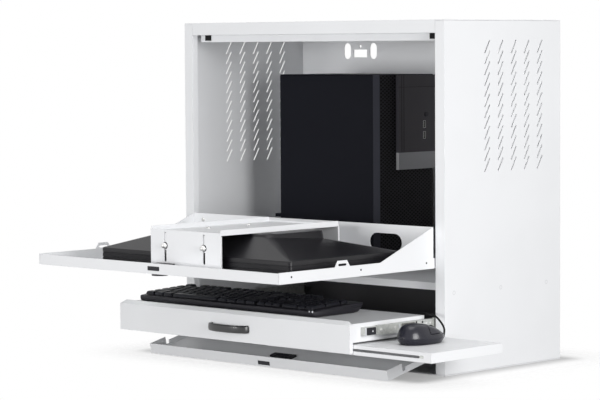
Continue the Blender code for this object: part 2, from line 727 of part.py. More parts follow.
def make_lock(prefix, front, lock_y, outer_z, bolt_rise, case_half, case_y, proud, pivot, frame):
    """Lock case with its round escutcheon, key plug and bolt. outer_z is the face that it is fixed in."""
    low = outer_z + SHEET + GAP
    body = boxes(((-case_half, case_half), case_y, (low, outer_z + bolt_rise[1] + CASE_ROOF)))
    case = part(f"{prefix}_latch_case", body, BLACK, pivot, frame)
    at = (0, lock_y, 0)
    neck = rods("Z", (at, NECK_R, (outer_z - proud + GAP, low + SHEET)), segments=32)
    change(case, neck, "UNION", frame)
    disc = rods("Z", (at, DISC_R, (outer_z - proud, outer_z - GAP)), segments=32)
    change(case, disc, "UNION", frame)
    bolt_x = (-BOLT_HALF, BOLT_HALF)
    bolt_z = (outer_z + bolt_rise[0], outer_z + bolt_rise[1])
    bolt_back = case_y[1] - BOLT_TAIL
    wide = (-BOLT_HALF - GAP, BOLT_HALF + GAP)
    tall = (bolt_z[0] - GAP, bolt_z[1] + GAP)
    room = boxes((wide, (case_y[0] - SHEET, bolt_back + BOLT_ROOM), tall))
    change(case, room, "DIFFERENCE", frame)
    bore = (outer_z - proud - SHEET, bolt_z[0])
    change(case, rods("Z", (at, PLUG_R + GAP, bore), segments=32), "DIFFERENCE", frame)
    part(f"{prefix}_latch_bolt", boxes((bolt_x, (front, bolt_back), bolt_z)), GREY, pivot, frame)
    centre = (0, lock_y, outer_z)
    plug = rods("Z", (at, PLUG_R, (outer_z - proud - GAP, bolt_z[0] - GAP * 2)), segments=32)
    plug = part(f"{prefix}_lock_plug", plug, STEEL, centre, frame)
    thin, long = KEYWAY
    key_y = (lock_y - long, lock_y + long)
    key = boxes(((-thin, thin), key_y, (outer_z - proud - SHEET, outer_z)))
    change(plug, key, "DIFFERENCE", frame)


def make_bridge():
    """Bridge that clamps the monitor, the door's feet that hold it, and its thumb screws."""
    x0, x1 = BRIDGE_X
    under = MON_TOP + GAP
    plate_top = BRIDGE_TOP - BRIDGE_RIM
    body = boxes((BRIDGE_X, (BRIDGE_FRONT, BRIDGE_REAR), (BRIDGE_LOW, BRIDGE_TOP)))
    bridge = part("monitor_bridge", body, PAINT, BRIDGE_BASE)
    inside = (BRIDGE_FRONT + SHEET, BRIDGE_REAR - SHEET)
    change(bridge, boxes(((x0 - 1, x1 + 1), inside, (BRIDGE_LOW - SHEET, under))))
    change(bridge, boxes(((x0 + SHEET, x1 - SHEET), inside, (under + SHEET, BRIDGE_TOP + SHEET))))
    ends = [(BRIDGE_FRONT - SHEET, inside[0]), (inside[1], BRIDGE_REAR + SHEET)]
    change(bridge, boxes(*[((x0 - 1, x1 + 1), y, (plate_top, BRIDGE_TOP + SHEET)) for y in ends]))
    slots = []
    for x in BRIDGE_SLOTS:
        low = (x - BRIDGE_SLOT_HALF, BRIDGE_LOW + BRIDGE_SLOT_ENDS[0])
        high = (x + BRIDGE_SLOT_HALF, plate_top - BRIDGE_SLOT_ENDS[1])
        loop = [(z, x) for x, z in oblong(low, high)]
        slots.append(outline("Y", (BRIDGE_FRONT - SHEET, BRIDGE_FRONT + SHEET * 2), loop))
    change(bridge, joined(*slots))
    base = (DOOR_Z + SHEET + GAP, DOOR_Z + SHEET * 2 + GAP)
    front = (BRIDGE_FRONT + SHEET + GAP, BRIDGE_FRONT + SHEET * 2 + GAP)
    rear = (BRIDGE_REAR + GAP, BRIDGE_REAR + SHEET + GAP)
    rise = (base[0], THUMB_Z + FOOT_TOP)
    clear = (-DISC_R - FOOT_CLEAR, DISC_R + FOOT_CLEAR)
    for name, face, away in (("front", front, FOOT_FRONT_AT), ("rear", rear, FOOT_REAR_AT)):
        angle = outline("X", BRIDGE_X, angle_outline(face, rise, away, base))
        foot = part(f"bridge_foot_{name}", angle, PAINT, DOOR_PIVOT)
        if name == "front":
            case_z = (base[0] - SHEET, DOOR_Z + FOOT_CUT)
            change(foot, boxes((clear, (DOOR_FRONT, front[1] + SHEET), case_z)))
            span = (face[0] - SHEET, face[1] + SHEET)
            change(foot, rods("Y", *[((x, 0, THUMB_Z), SCREW_HOLE, span) for x in BRIDGE_SLOTS]))
            half, low, high = FOOT_WINDOW
            window_z = (THUMB_Z - low, THUMB_Z - high)
            change(foot, boxes(*[((x - half, x + half), span, window_z) for x in BRIDGE_SLOTS]))
    for side, x in zip(("left", "right"), BRIDGE_SLOTS):
        bm = bmesh.new()
        add_screw(bm, "Y", (x, 0, THUMB_Z), BRIDGE_FRONT - GAP, -THUMB_L, front[1] + SHEET, THUMB_R)
        part(f"bridge_thumb_screw_{side}", mesh_from(bm, "screw"), STEEL, DOOR_PIVOT)


def angle_outline(face, rise, away, base):
    """The (y, z) outline of an angle: an upright between the two faces, and a foot that runs to away."""
    if away < face[0]:
        return [
            (face[1], base[0]),
            (face[1], rise[1]),
            (face[0], rise[1]),
            (face[0], base[1]),
            (away, base[1]),
            (away, base[0]),
        ]
    return [
        (face[0], base[0]),
        (away, base[0]),
        (away, base[1]),
        (face[1], base[1]),
        (face[1], rise[1]),
        (face[0], rise[1]),
    ]


def make_monitor():
    """Monitor lying on its screen: bezel, screen, and a housing that slopes up to a raised pad."""
    bezel = boxes((MON_X, MON_Y, (MON_FACE, MON_FACE + BEZEL_T)))
    frame = part("monitor_bezel", bezel, BLACK, BRIDGE_BASE)
    w = BEZEL_W
    screen_x = (MON_X[0] + w, MON_X[1] - w)
    screen_y = (MON_Y[0] + w, MON_Y[1] - w)
    change(frame, boxes((screen_x, screen_y, (MON_FACE - SHEET, MON_FACE + BEZEL_T + SHEET))))
    g = GAP
    inner_x = (screen_x[0] + g, screen_x[1] - g)
    inner_y = (screen_y[0] + g, screen_y[1] - g)
    screen = boxes((inner_x, inner_y, (MON_FACE + SCREEN_SUNK, MON_FACE + BEZEL_T)))
    part("monitor_screen", screen, BLACK, BRIDGE_BASE)
    band = MON_FACE + MON_BAND
    middle = sum(MON_Y) / 2
    half = (MON_W / 2, (MON_Y[1] - MON_Y[0]) / 2)
    levels = [(MON_FACE + BEZEL_T + g, 0), (band - MON_ROUND, 0), (band, MON_ROUND)]
    bm = bmesh.new()
    rings = []
    for z, inset in levels:
        loop = rounded((half[0] - inset, half[1] - inset), MON_CORNER)
        rings.append([bm.verts.new((MON_MID + x, middle + y, z)) for x, y in loop])
    ridge = (MON_Y[0] + MON_SLOPE_Y[0], MON_Y[1] - MON_SLOPE_Y[1])
    middle = sum(ridge) / 2
    half = (half[0] - MON_SLOPE_X, ridge[1] - middle)
    tilt = (MON_FALL[1] - MON_FALL[0]) / (ridge[1] - ridge[0])
    ring = []
    for x, y in rounded(half, MON_PAD_ROUND):
        z = MON_TOP - MON_FALL[0] - tilt * (y + half[1])
        ring.append(bm.verts.new((MON_MID + x, middle + y, z)))
    rings.append(ring)
    loft(bm, rings)
    housing = part("monitor_housing", mesh_from(bm, "housing"), BLACK, BRIDGE_BASE)
    pad = rounded((half[0] - MON_PAD_IN, half[1] - MON_PAD_IN), MON_PAD_ROUND)
    pad = outline("Z", (band, MON_TOP), [(MON_MID + x, middle + y) for x, y in pad])
    change(housing, pad, "UNION")


def rounded(half, radius, count=5):
    """A rectangle with round corners about the origin."""
    x, y = half[0] - radius, half[1] - radius
    points = []
    for k, (sx, sy) in enumerate(((1, 1), (-1, 1), (-1, -1), (1, -1))):
        points += arc((sx * x, sy * y), radius, 90 * k, 90 * k + 90, count)
    return points


def make_drawer():
    """Inverted tray, folded front whose top strip leans back with mitred ends, and bow handle."""
    wall_z = (DRAWER_TOP - DRAWER_WALL, DRAWER_TOP)
    front_face = DRAWER_FRONT + FRONT_T + GAP
    x = (-DRAWER_HALF, DRAWER_HALF)
    tray = part("drawer_tray", boxes((x, (front_face, DRAWER_REAR), wall_z)), PAINT)
    hollow = ((x[0] + SHEET, x[1] - SHEET), (front_face + SHEET, DRAWER_REAR + SHEET))
    change(tray, boxes((*hollow, (wall_z[0] - SHEET, DRAWER_TOP - SHEET))))
    shoulder = FRONT_Z[1] - FRONT_STRIP
    rear = DRAWER_FRONT + FRONT_T
    bm = bmesh.new()
    rings = []
    for z, mitre, lean in ((FRONT_Z[0], 0, 0), (shoulder, 0, 0), (FRONT_Z[1], FRONT_MITRE, FRONT_LEAN)):
        half = FRONT_HALF - mitre
        near = DRAWER_FRONT + lean
        corners = (-half, near), (half, near), (half, rear), (-half, rear)
        rings.append([bm.verts.new((*corner, z)) for corner in corners])
    loft(bm, rings)
    face = part("drawer_front", mesh_from(bm, "front"), PAINT)
    hollow_x = (SHEET - FRONT_HALF, FRONT_HALF - SHEET)
    hollow_z = (FRONT_Z[0] + SHEET, shoulder - SHEET)
    change(face, boxes((hollow_x, (DRAWER_FRONT + SHEET, rear + SHEET), hollow_z)))
    inner = (HANDLE_HALF - HANDLE_FOOT, HANDLE_OUT - HANDLE_T)
    loop = bow(HANDLE_HALF, HANDLE_OUT) + bow(*inner)[::-1]
    bent = outline("Z", (HANDLE_Z, HANDLE_Z + HANDLE_H), loop)
    handle = part("drawer_handle", bent, BLACK)
    rounding = handle.modifiers.new("rounding", "BEVEL")
    rounding.width = HANDLE_EDGE
    rounding.segments = 3
    rounding.angle_limit = math.radians(60)


def bow(half, out, count=29):
    """The plan of a bow handle's face: half a superellipse that stands out from the drawer front."""
    points = []
    for angle in np.linspace(0, math.pi, count):
        x = math.copysign(abs(math.cos(angle)) ** BOW_POWER, math.cos(angle))
        points.append((half * x, DRAWER_FRONT - GAP - out * math.sin(angle) ** BOW_POWER))
    return points


def key_rows():
    """Keys as (left, row, width, depth) in key units, from the front row up."""
    rows = [
        (0, [1.25, 1.25, 1.25, 6.25, 1.25, 1.25, 1.25, 1.25]),
        (1, [2.25] + [1] * 10 + [2.75]),
        (2, [1.75] + [1] * 11 + [2.25]),
        (3, [1.5] + [1] * 12 + [1.5]),
        (4, [1] * 13 + [2]),
    ]
    keys = []
    for row, widths in rows:
        left = 0.0
        for width in widths:
            keys.append((left, row, width, 1))
            left += width
    keys.append((0, 5.25, 1, 1))
    keys += [(2 + group * 4.5 + k, 5.25, 1, 1) for group in range(3) for k in range(4)]
    nav = 15.25
    keys += [(nav + k, row, 1, 1) for row in (3, 4, 5.25) for k in range(3)]
    keys += [(nav + k, 0, 1, 1) for k in range(3)] + [(nav + 1, 1, 1, 1)]
    pad = 18.5
    keys += [(pad + k, row, 1, 1) for row in (1, 2, 3) for k in range(3)]
    keys += [(pad + k, 4, 1, 1) for k in range(4)]
    keys += [(pad, 0, 2, 1), (pad + 2, 0, 1, 1), (pad + 3, 0, 1, 2), (pad + 3, 2, 1, 2)]
    return keys


def make_keyboard():
    """Wedge-shaped keyboard case, and its keycaps on the sheet that carries them."""
    base = DRAWER_TOP + GAP
    y0, y1 = KEYS_Y
    wedge = [
        (y0 + CASE_UNDER[0], base),
        (y1 - CASE_UNDER[1], base),
        (y1, base + DECK_REAR - CASE_LIP),
        (y1, base + DECK_REAR),
        (y0, base + DECK_FRONT),
        (y0, base + CASE_LIP),
    ]
    part("keyboard_case", outline("X", KEYS_X, wedge), BLACK)
    slope = (DECK_REAR - DECK_FRONT) / (y1 - y0)
    margin_x = (KEYS_X[1] - KEYS_X[0] - KEYS_WIDE * KEY) / 2
    margin_y = (y1 - y0 - KEYS_DEEP * KEY) / 2

    def deck(y):
        return base + DECK_FRONT + slope * (y - y0) + GAP

    front, back = y0 + margin_y, y1 - margin_y
    loop = [
        (front, deck(front)),
        (back, deck(back)),
        (back, deck(back) + SHEET_T),
        (front, deck(front) + SHEET_T),
    ]
    carrier = outline("X", (KEYS_X[0] + margin_x, KEYS_X[1] - margin_x), loop)
    keys = part("keyboard_keys", carrier, BLACK)
    bm = bmesh.new()
    for left, row, width, depth in key_rows():
        x0 = KEYS_X[0] + margin_x + left * KEY
        y = front + row * KEY
        span_x = (x0 + KEY_SPACE, x0 + width * KEY - KEY_SPACE)
        span_y = (y + KEY_SPACE, y + depth * KEY - KEY_SPACE)
        for vert in add_box(bm, span_x, span_y, (SHEET_T / 2, KEY_H)):
            if vert.co.z > KEY_H / 2:
                vert.co.x -= math.copysign(KEY_TAPER, vert.co.x - sum(span_x) / 2)
                vert.co.y -= math.copysign(KEY_TAPER, vert.co.y - sum(span_y) / 2)
            vert.co.z += deck(vert.co.y)
    change(keys, mesh_from(bm, "keys"), "UNION")


def make_mouse_shelf():
    """Pull-out shelf under the drawer, the studs in its slot, and the hangers behind it."""
    pan = part("mouse_shelf", boxes((SHELF2_X, SHELF2_Y, SHELF2_Z)), PAINT)
    hollow_x = (SHELF2_X[0] - SHEET, SHELF2_X[1] - SHEET)
    hollow_y = (SHELF2_Y[0] + SHEET, SHELF2_Y[1] - SHEET)
    change(pan, boxes((hollow_x, hollow_y, (SHELF2_Z[0] - SHEET, SHELF2_Z[1] - SHEET))))
    loop = [(z, x) for x, z in oblong((SLOT_X[0], SLOT_Z[0]), (SLOT_X[1], SLOT_Z[1]), 7)]
    change(pan, outline("Y", (SHELF2_Y[0] - SHEET, SHELF2_Y[0] + SHEET * 2), loop))
    span = (DRAWER_FRONT + SHEET / 2, SHELF2_Y[0] + SHEET * 3)
    studs = [((x, 0, sum(SLOT_Z) / 2), STUD_R, span) for x in STUD_X]
    change(bpy.data.objects["drawer_front"], rods("Y", *studs), "UNION")
    hang = SHELF2_Y[1] + GAP
    drop = SHELF2_Z[0] - GAP - SHEET
    top = DRAWER_TOP - SHEET - GAP
    loop = [
        (hang, drop + SHEET),
        (hang - HANGER_FOOT, drop + SHEET),
        (hang - HANGER_FOOT, drop),
        (hang + SHEET - GAP, drop),
        (hang + SHEET - GAP, top),
        (hang - HANGER_HEAD, top),
        (hang - HANGER_HEAD, top - SHEET),
        (hang, top - SHEET),
    ]
    for side, left in zip(("left", "right"), HANGER_X):
        part(f"shelf_hanger_{side}", outline("X", (left, left + HANGER_W), loop), ZINC)


def mouse_form(cx, cy, floor):
    """The mouse as a loft along Y of arched sections: oval in plan, and highest behind the middle."""
    half, reach, top = MOUSE_SIZE
    bm = bmesh.new()
    rings = []
    for turn in np.linspace(0, math.pi, MOUSE_STATIONS):
        along = (1 - math.cos(turn)) / 2
        side = 1 - along / MOUSE_PEAK if along < MOUSE_PEAK else (along - MOUSE_PEAK) / (1 - MOUSE_PEAK)
        fall = MOUSE_REAR * side**3 if along < MOUSE_PEAK else MOUSE_NOSE * side**2
        end = max(0.0, 1 - min(along, 1 - along) / MOUSE_ROUND)
        close = 1 - MOUSE_END * (1 - math.sqrt(1 - end**2))
        oval = MOUSE_BLUNT + (1 - MOUSE_BLUNT) * (1 - abs(math.cos(turn)) ** MOUSE_OVAL)
        wide = half * oval ** (1 / MOUSE_OVAL)
        high = top * close * (1 - fall)
        angles = np.linspace(0, math.pi, MOUSE_STATIONS)
        ring = []
        for angle in angles:
            x = math.copysign(abs(math.cos(angle)) ** MOUSE_ARCH, math.cos(angle))
            z = math.sin(angle) ** MOUSE_ARCH
            ring.append(bm.verts.new((cx + wide * x, cy + reach * (2 * along - 1), floor + high * z)))
        rings.append(ring)
    loft(bm, rings)
    return mesh_from(bm, "mouse")


def make_mouse():
    """Mouse with two buttons and a wheel, all cut from one rounded form."""
    cx, cy = MOUSE_XY
    floor = SHELF2_Z[1] + GAP
    a, b, c = MOUSE_SIZE
    form = mouse_form(cx, cy, floor)
    wheel_z = floor + WHEEL_RISE
    shell = part("mouse_shell", form, GREY)
    ahead = cy + b * 2
    above = floor + c * 2
    sides = (cx + SPINE_HALF, cx + a * 2), (cx - a * 2, cx - SPINE_HALF)
    reach = ((BUTTON_Y - GAP * 2, ahead), (BUTTON_Z - BUTTON_LIFT, above))
    change(shell, boxes(*[(x, *reach) for x in sides]))
    room = WHEEL_R + WELL_ROOM
    well_y = (WHEEL_Y - room, WHEEL_Y + room)
    change(shell, boxes(((cx - WELL_HALF, cx + WELL_HALF), well_y, (wheel_z - room, above))))
    spans = ("right", (cx + SEAM_HALF, cx + a * 2)), ("left", (cx - a * 2, cx - SEAM_HALF))
    for side, x in spans:
        button = part(f"mouse_{side}_button", form, GREY, (cx, BUTTON_Y, BUTTON_Z))
        change(button, boxes((x, (BUTTON_Y, ahead), (BUTTON_Z, above))), "INTERSECT")
    span = (cx - WHEEL_HALF, cx + WHEEL_HALF)
    wheel = rods("X", ((0, WHEEL_Y, wheel_z), WHEEL_R, span), segments=32)
    part("mouse_wheel", wheel, RUBBER, (cx, WHEEL_Y, wheel_z))


def smooth(points, step):
    """Points a step apart on a smooth curve through the given ones."""
    points = np.array(points, float)
    ends = np.vstack([2 * points[0] - points[1], points, 2 * points[-1] - points[-2]])
    fine = []
    for p0, p1, p2, p3 in zip(ends, ends[1:], ends[2:], ends[3:]):
        t = np.linspace(0, 1, 60, endpoint=False)[:, None]
        bend = (2 * p0 - 5 * p1 + 4 * p2 - p3) * t**2 + (3 * p1 - p0 - 3 * p2 + p3) * t**3
        fine.append(p1 + ((p2 - p0) * t + bend) / 2)
    fine = np.vstack([*fine, points[-1:]])
    along = np.concatenate([[0], np.cumsum(np.linalg.norm(np.diff(fine, axis=0), axis=1))])
    count = max(2, round(along[-1] / step))
    places = np.linspace(0, along[-1], count + 1)
    return np.stack([np.interp(places, along, fine[:, k]) for k in range(3)], axis=1)


def tube(name, points, resolution, finish):
    """A cord along points, as a curve with round section and closed ends."""
    curve = bpy.data.curves.new(name, "CURVE")
    curve.dimensions = "3D"
    curve.bevel_depth = CORD_D / 2
    curve.bevel_resolution = resolution
    curve.use_fill_caps = True
    spline = curve.splines.new("POLY")
    spline.points.add(len(points) - 1)
    for point, place in zip(spline.points, points):
        point.co = (*place, 1)
    made = bpy.data.objects.new(name, curve)
    made.parent = ROOT
    curve.materials.append(material(name, *finish))
    parts.objects.link(made)
    return made


def coil_points():
    """The coil's centre line: it spirals in and out, and goes down a layer where it reverses."""
    per_turn = COIL_POINTS
    wide = COIL_R + COIL_STEP * COIL_TURNS
    radius, height = [wide], [0.0]
    for layer in range(COIL_LAYERS):
        ends = (wide, COIL_R) if layer % 2 == 0 else (COIL_R, wide)
        radius += list(np.linspace(*ends, COIL_TURNS * per_turn + 1)[1:])
        height += [float(layer)] * (COIL_TURNS * per_turn)
        if layer < COIL_LAYERS - 1:
            radius += [ends[1]] * (per_turn // 2)
            height += list(layer + np.linspace(0, 1, per_turn // 2 + 1)[1:])
    radius = np.array(radius)
    angle = -2 * math.pi * np.arange(len(radius)) / per_turn
    z = SHELF2_Z[1] + GAP + CORD_D / 2 + COIL_LAYER * (COIL_LAYERS - 1 - np.array(height))
    cx, cy = COIL_CENTRE
    turns = np.stack([cx + radius * np.cos(angle), cy + radius * np.sin(angle), z], axis=1)
    along = turns[-1] - turns[-2]
    along /= np.linalg.norm(along)
    tail = [turns[-1] + along * d + np.array((0, 0, TAIL_RISE * r)) for d, r in TAIL]
    return np.vstack([turns, tail])


def least_gap(points, diameter):
    """The least gap between stretches of the cord that aren't neighbours."""
    fine = []
    for p, q in zip(points, points[1:]):
        fine.append(p + (q - p) * np.linspace(0, 1, 4, endpoint=False)[:, None])
    fine = np.vstack(fine)
    along = np.concatenate([[0], np.cumsum(np.linalg.norm(np.diff(fine, axis=0), axis=1))])
    apart = np.linalg.norm(fine[:, None] - fine[None], axis=2)
    apart[np.abs(along[:, None] - along[None]) < diameter * 6] = 1
    return float(apart.min() - diameter)


def make_cord():
    """Mouse cord over the drawer's rear corner and down to its coil, and the plug beside the coil."""
    cx, cy = MOUSE_XY
    nose = cy + MOUSE_SIZE[1]
    rise = SHELF2_Z[1]
    coil = coil_points()
    lead = coil[1] - coil[0]
    lead /= np.linalg.norm(lead)
    start = coil[0] - lead * (CORD_D + GAP)
    route = [
        (cx, nose + RELIEF + GAP, rise + RELIEF_Z),
        (cx, nose + RELIEF + GAP + CORD_D, rise + RELIEF_Z),
        *[(cx + x, DRAWER_REAR + y, rise + z) for x, y, z in ROUTE],
        tuple(start - lead * 0.028),
        tuple(start - lead * 0.012),
        tuple(start - lead * CORD_D),
        tuple(start),
    ]
    run = np.vstack([route[:1], smooth(route[1:-1], CORD_D * 2), route[-1:]])
    tube("mouse_cord", run, 2, RUBBER)
    tube("mouse_cord_coil", coil, 1, RUBBER)
    print("coil least gap mm", round(1000 * least_gap(coil, CORD_D), 3))
    length = np.linalg.norm(np.diff(run, axis=0), axis=1).sum()
    wound = np.linalg.norm(np.diff(coil, axis=0), axis=1).sum()
    print("cord run and coil m", round(length, 4), round(wound, 4))
    relief = rods("Y", ((cx, 0, rise + RELIEF_Z), RELIEF_R, (nose - RELIEF_IN, nose + RELIEF)))
    change(bpy.data.objects["mouse_shell"], relief, "UNION")
    tail = coil[-1] - coil[-2]
    tail /= np.linalg.norm(tail)
    head = Vector(coil[-1] + tail * GAP)
    turn = Vector((1, 0, 0)).rotation_difference(Vector(tail)).to_matrix().to_4x4()
    place = Matrix.Translation(head) @ turn
    forms = []
    ends = ((0, PLUG_L), PLUG_HALF), ((PLUG_L - SHEET, PLUG_L + TONGUE_L), TONGUE_HALF)
    for span, (wide, high) in ends:
        form = boxes((span, (-wide, wide), (-high, high)))
        form.transform(place)
        forms.append(form)
    change(part("mouse_plug", forms[0], BLACK), forms[1], "UNION")


def make_flap():
    """Lower flap: skin, front and side flanges with a notch, and ears on the hinge pins."""

    def along(u):
        return -u

    def inward(w):
        return w - FLAP_DEPTH

    profile = [
        (along(FLAP_REACH), inward(0)),
        (along(-FLAP_TAIL), inward(0)),
        (along(-FLAP_TAIL), inward(SHEET)),
        (along(FLAP_REACH - SHEET), inward(SHEET)),
        (along(FLAP_REACH - SHEET), inward(FLAP_FLANGE)),
        (along(FLAP_REACH), inward(FLAP_FLANGE)),
    ]
    skin = part("flap_pan", outline("X", (-FLAP_HALF, FLAP_HALF), profile), PAINT, (0, 0, 0), FLAP)
    side = [
        (along(FLAP_REACH), inward(0)),
        (along(-FLAP_TAIL), inward(0)),
        (along(-FLAP_TAIL), inward(SHEET * 3)),
        (along(FLAP_TAPER - FLAP_TAIL), inward(FLAP_ARM)),
        (along(-EAR_R), inward(FLAP_ARM)),
        *arc((0, 0), EAR_R, 0, 180, 13),
        (along(EAR_R), inward(FLAP_ARM)),
        (along(FLAP_NOTCH[0]), inward(FLAP_ARM)),
        (along(FLAP_NOTCH[0]), inward(SHEET * 3)),
        (along(FLAP_NOTCH[1]), inward(SHEET * 3)),
        (along(FLAP_NOTCH[1]), inward(FLAP_FLANGE)),
        (along(FLAP_REACH), inward(FLAP_FLANGE)),
    ]
    pin = arc((0, 0), PIN_R + GAP, 0, 337.5, 16)
    cheek = outline("X", (FLAP_HALF - SHEET, FLAP_HALF), side, pin)
    change(skin, joined(cheek, mirrored(cheek)), "UNION", FLAP)
    slot_x = (-BOLT_HALF - GAP, BOLT_HALF + GAP)
    slot_y = (along(FLAP_REACH + SHEET), along(FLAP_REACH - SHEET * 2))
    slot_z = (inward(FLAP_BOLT[0]) - GAP, inward(FLAP_BOLT[1]) + GAP)
    change(skin, boxes((slot_x, slot_y, slot_z)), "DIFFERENCE", FLAP)
    lock_y = along(FLAP_LOCK_U)
    neck = rods("Z", ((0, lock_y, 0), NECK_R + GAP, (inward(-SHEET), inward(SHEET * 2))))
    change(skin, neck, "DIFFERENCE", FLAP)
    case = (FLAP_BOLT, FLAP_CASE_HALF, [along(u) for u in FLAP_CASE_U], FLAP_DISC_T)
    make_lock("flap", along(FLAP_REACH), lock_y, inward(0), *case, (0, 0, 0), FLAP)
    head, arm = FLAP_HEAD_U
    above = inward(FLAP_BOLT[1] + CASE_ROOF + SHEET)
    behind = along(FLAP_CASE_U[1] - SHEET)
    low_top = inward(FLAP_PLATE)
    case = bpy.data.objects["flap_latch_case"]
    change(case, boxes(((-1, 1), (along(head), behind), (low_top, above))), "DIFFERENCE", FLAP)
    beside = BOLT_HALF + GAP + SHEET, FLAP_CASE_HALF + SHEET
    ahead = (along(FLAP_REACH), along(arm))
    trims = boxes(*[(x, ahead, (inward(SHEET), above)) for x in both(*beside)])
    change(case, trims, "DIFFERENCE", FLAP)
    tail = boxes(((-1, 1), (along(head + SHEET), behind), (inward(FLAP_TAIL_TOP), above)))
    change(bpy.data.objects["flap_latch_bolt"], tail, "DIFFERENCE", FLAP)


def make_computer():
    """Computer tower on the shelf: case, side cover, bezel, port panel and power button."""
    x0, x1 = PC_X
    y0, y1 = PC_Y
    low = SHELF_Z + PC_FEET + GAP
    bezel_x = x1 - PC_BEZEL
    case = boxes(((x0, bezel_x - GAP), (y0 + SHEET + GAP, y1), (low, PC_TOP)))
    case = part("pc_case", case, BLACK)
    w = SHEET
    inner_x = (x0 + w, bezel_x - GAP - w)
    change(case, boxes((inner_x, (y0, y1 - w), (low + w, PC_TOP - w))))
    edge_x, edge_z = PC_COVER_IN
    cover_x = (x0 + edge_x, bezel_x - GAP)
    cover = boxes((cover_x, (y0, y0 + SHEET), (low + edge_z, PC_TOP - edge_z)))
    part("pc_side_cover", cover, BLACK)
    bezel = part("pc_front_bezel", boxes(((bezel_x, x1), (y0, y1), (low, PC_TOP))), BLACK)
    y, z = PC_BUTTON
    out = x1 + IO_OUT
    bore = ((0, y, z), PC_BUTTON_R + GAP, (x1 - PC_BUTTON_BORE, out + PC_BEZEL))
    change(bezel, rods("X", bore))
    panel = part("pc_port_panel", boxes(((x1 + GAP, out), IO_Y, IO_Z)), GREY)
    change(panel, rods("X", bore))
    wide, high = PORT_HALF
    port_x = (out - PORT_DEEP, out + PC_BEZEL)
    port_y = (y - PORT_SIDE - wide, y - PORT_SIDE + wide)
    ports = [(port_x, port_y, (z - drop - high, z - drop + high)) for drop in PORT_DROPS]
    change(panel, boxes(*ports))
    span = (x1 - PC_BUTTON_IN, out + PC_BUTTON_OUT)
    button = rods("X", ((0, y, z), PC_BUTTON_R, span))
    part("pc_power_button", button, GREY, (x1, y, z))
    feet = []
    in_x, in_y = PC_FOOT_IN
    for fx in (x0 + in_x, bezel_x - in_x):
        for fy in (y0 + in_y, y1 - in_y):
            feet.append(((fx, fy, 0), PC_FOOT_R, (SHELF_Z + GAP, low + w / 2)))
    change(case, rods("Z", *feet), "UNION")


make_side_panels()
make_shell()
make_shelf()
make_hinges()
make_slides()
make_door()
door_case = (DOOR_BOLT, DOOR_CASE_HALF, (DOOR_FRONT + SHEET + GAP, LOCK_Y + CASE_TAIL), DOOR_DISC_T)
make_lock("door", DOOR_FRONT, LOCK_Y, DOOR_Z, *door_case, DOOR_PIVOT, ROOT)
make_bridge()
make_monitor()
make_drawer()
make_keyboard()
make_mouse_shelf()
make_mouse()
make_cord()
make_flap()
make_computer()
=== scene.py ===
"""Looks of the wall-mounted computer workstation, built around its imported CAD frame.

Lengths are metres in the row frame. CABINET moves the CAD source's own coordinates there:
X to the right, Y back from the cabinet's front plane and Z up from its underside.
"""

import json
import math

import bpy
import numpy as np
from mathutils import Matrix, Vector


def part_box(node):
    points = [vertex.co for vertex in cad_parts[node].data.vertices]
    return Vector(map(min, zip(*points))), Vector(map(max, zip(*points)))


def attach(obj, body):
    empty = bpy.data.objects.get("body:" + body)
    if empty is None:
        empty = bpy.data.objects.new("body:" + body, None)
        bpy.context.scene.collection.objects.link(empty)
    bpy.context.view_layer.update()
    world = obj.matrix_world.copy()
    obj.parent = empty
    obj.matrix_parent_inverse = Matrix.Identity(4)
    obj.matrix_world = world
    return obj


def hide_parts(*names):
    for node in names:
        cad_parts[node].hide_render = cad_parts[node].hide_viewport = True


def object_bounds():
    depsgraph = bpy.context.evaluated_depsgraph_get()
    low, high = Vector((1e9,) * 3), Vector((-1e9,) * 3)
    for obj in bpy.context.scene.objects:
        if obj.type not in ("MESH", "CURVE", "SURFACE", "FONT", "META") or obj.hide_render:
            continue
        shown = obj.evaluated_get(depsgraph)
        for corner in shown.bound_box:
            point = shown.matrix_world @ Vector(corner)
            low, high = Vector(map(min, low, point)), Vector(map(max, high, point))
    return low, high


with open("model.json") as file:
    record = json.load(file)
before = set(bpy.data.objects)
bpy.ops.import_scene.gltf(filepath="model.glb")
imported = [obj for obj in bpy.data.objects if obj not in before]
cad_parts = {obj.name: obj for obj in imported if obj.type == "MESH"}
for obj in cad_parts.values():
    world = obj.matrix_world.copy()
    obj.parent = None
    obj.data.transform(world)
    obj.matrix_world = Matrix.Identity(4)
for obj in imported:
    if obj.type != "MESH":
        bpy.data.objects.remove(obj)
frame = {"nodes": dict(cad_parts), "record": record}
CAD_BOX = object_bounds()
NODES = frame["nodes"]

CABINET = np.array((0.0, -0.327, -0.400))
GAP = 0.0003
TURN = 2 * math.pi


def box(node):
    """The lowest and highest corner of a CAD node, as arrays."""
    low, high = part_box(node)
    return np.array(low), np.array(high)


def cabinet(*place):
    """A place in the CAD source's coordinates, as a point of the row frame."""
    return np.array(place) + CABINET


def unit(vector):
    return vector / np.linalg.norm(vector)


# Camera and light

EYE = (3.0870, -3.5816, 0.1760)
AZIMUTH, PITCH, ROLL = 0.7626, 0.0623, -0.0060
LENS = 147.39
FILM = 36.0
FAR = 100.0


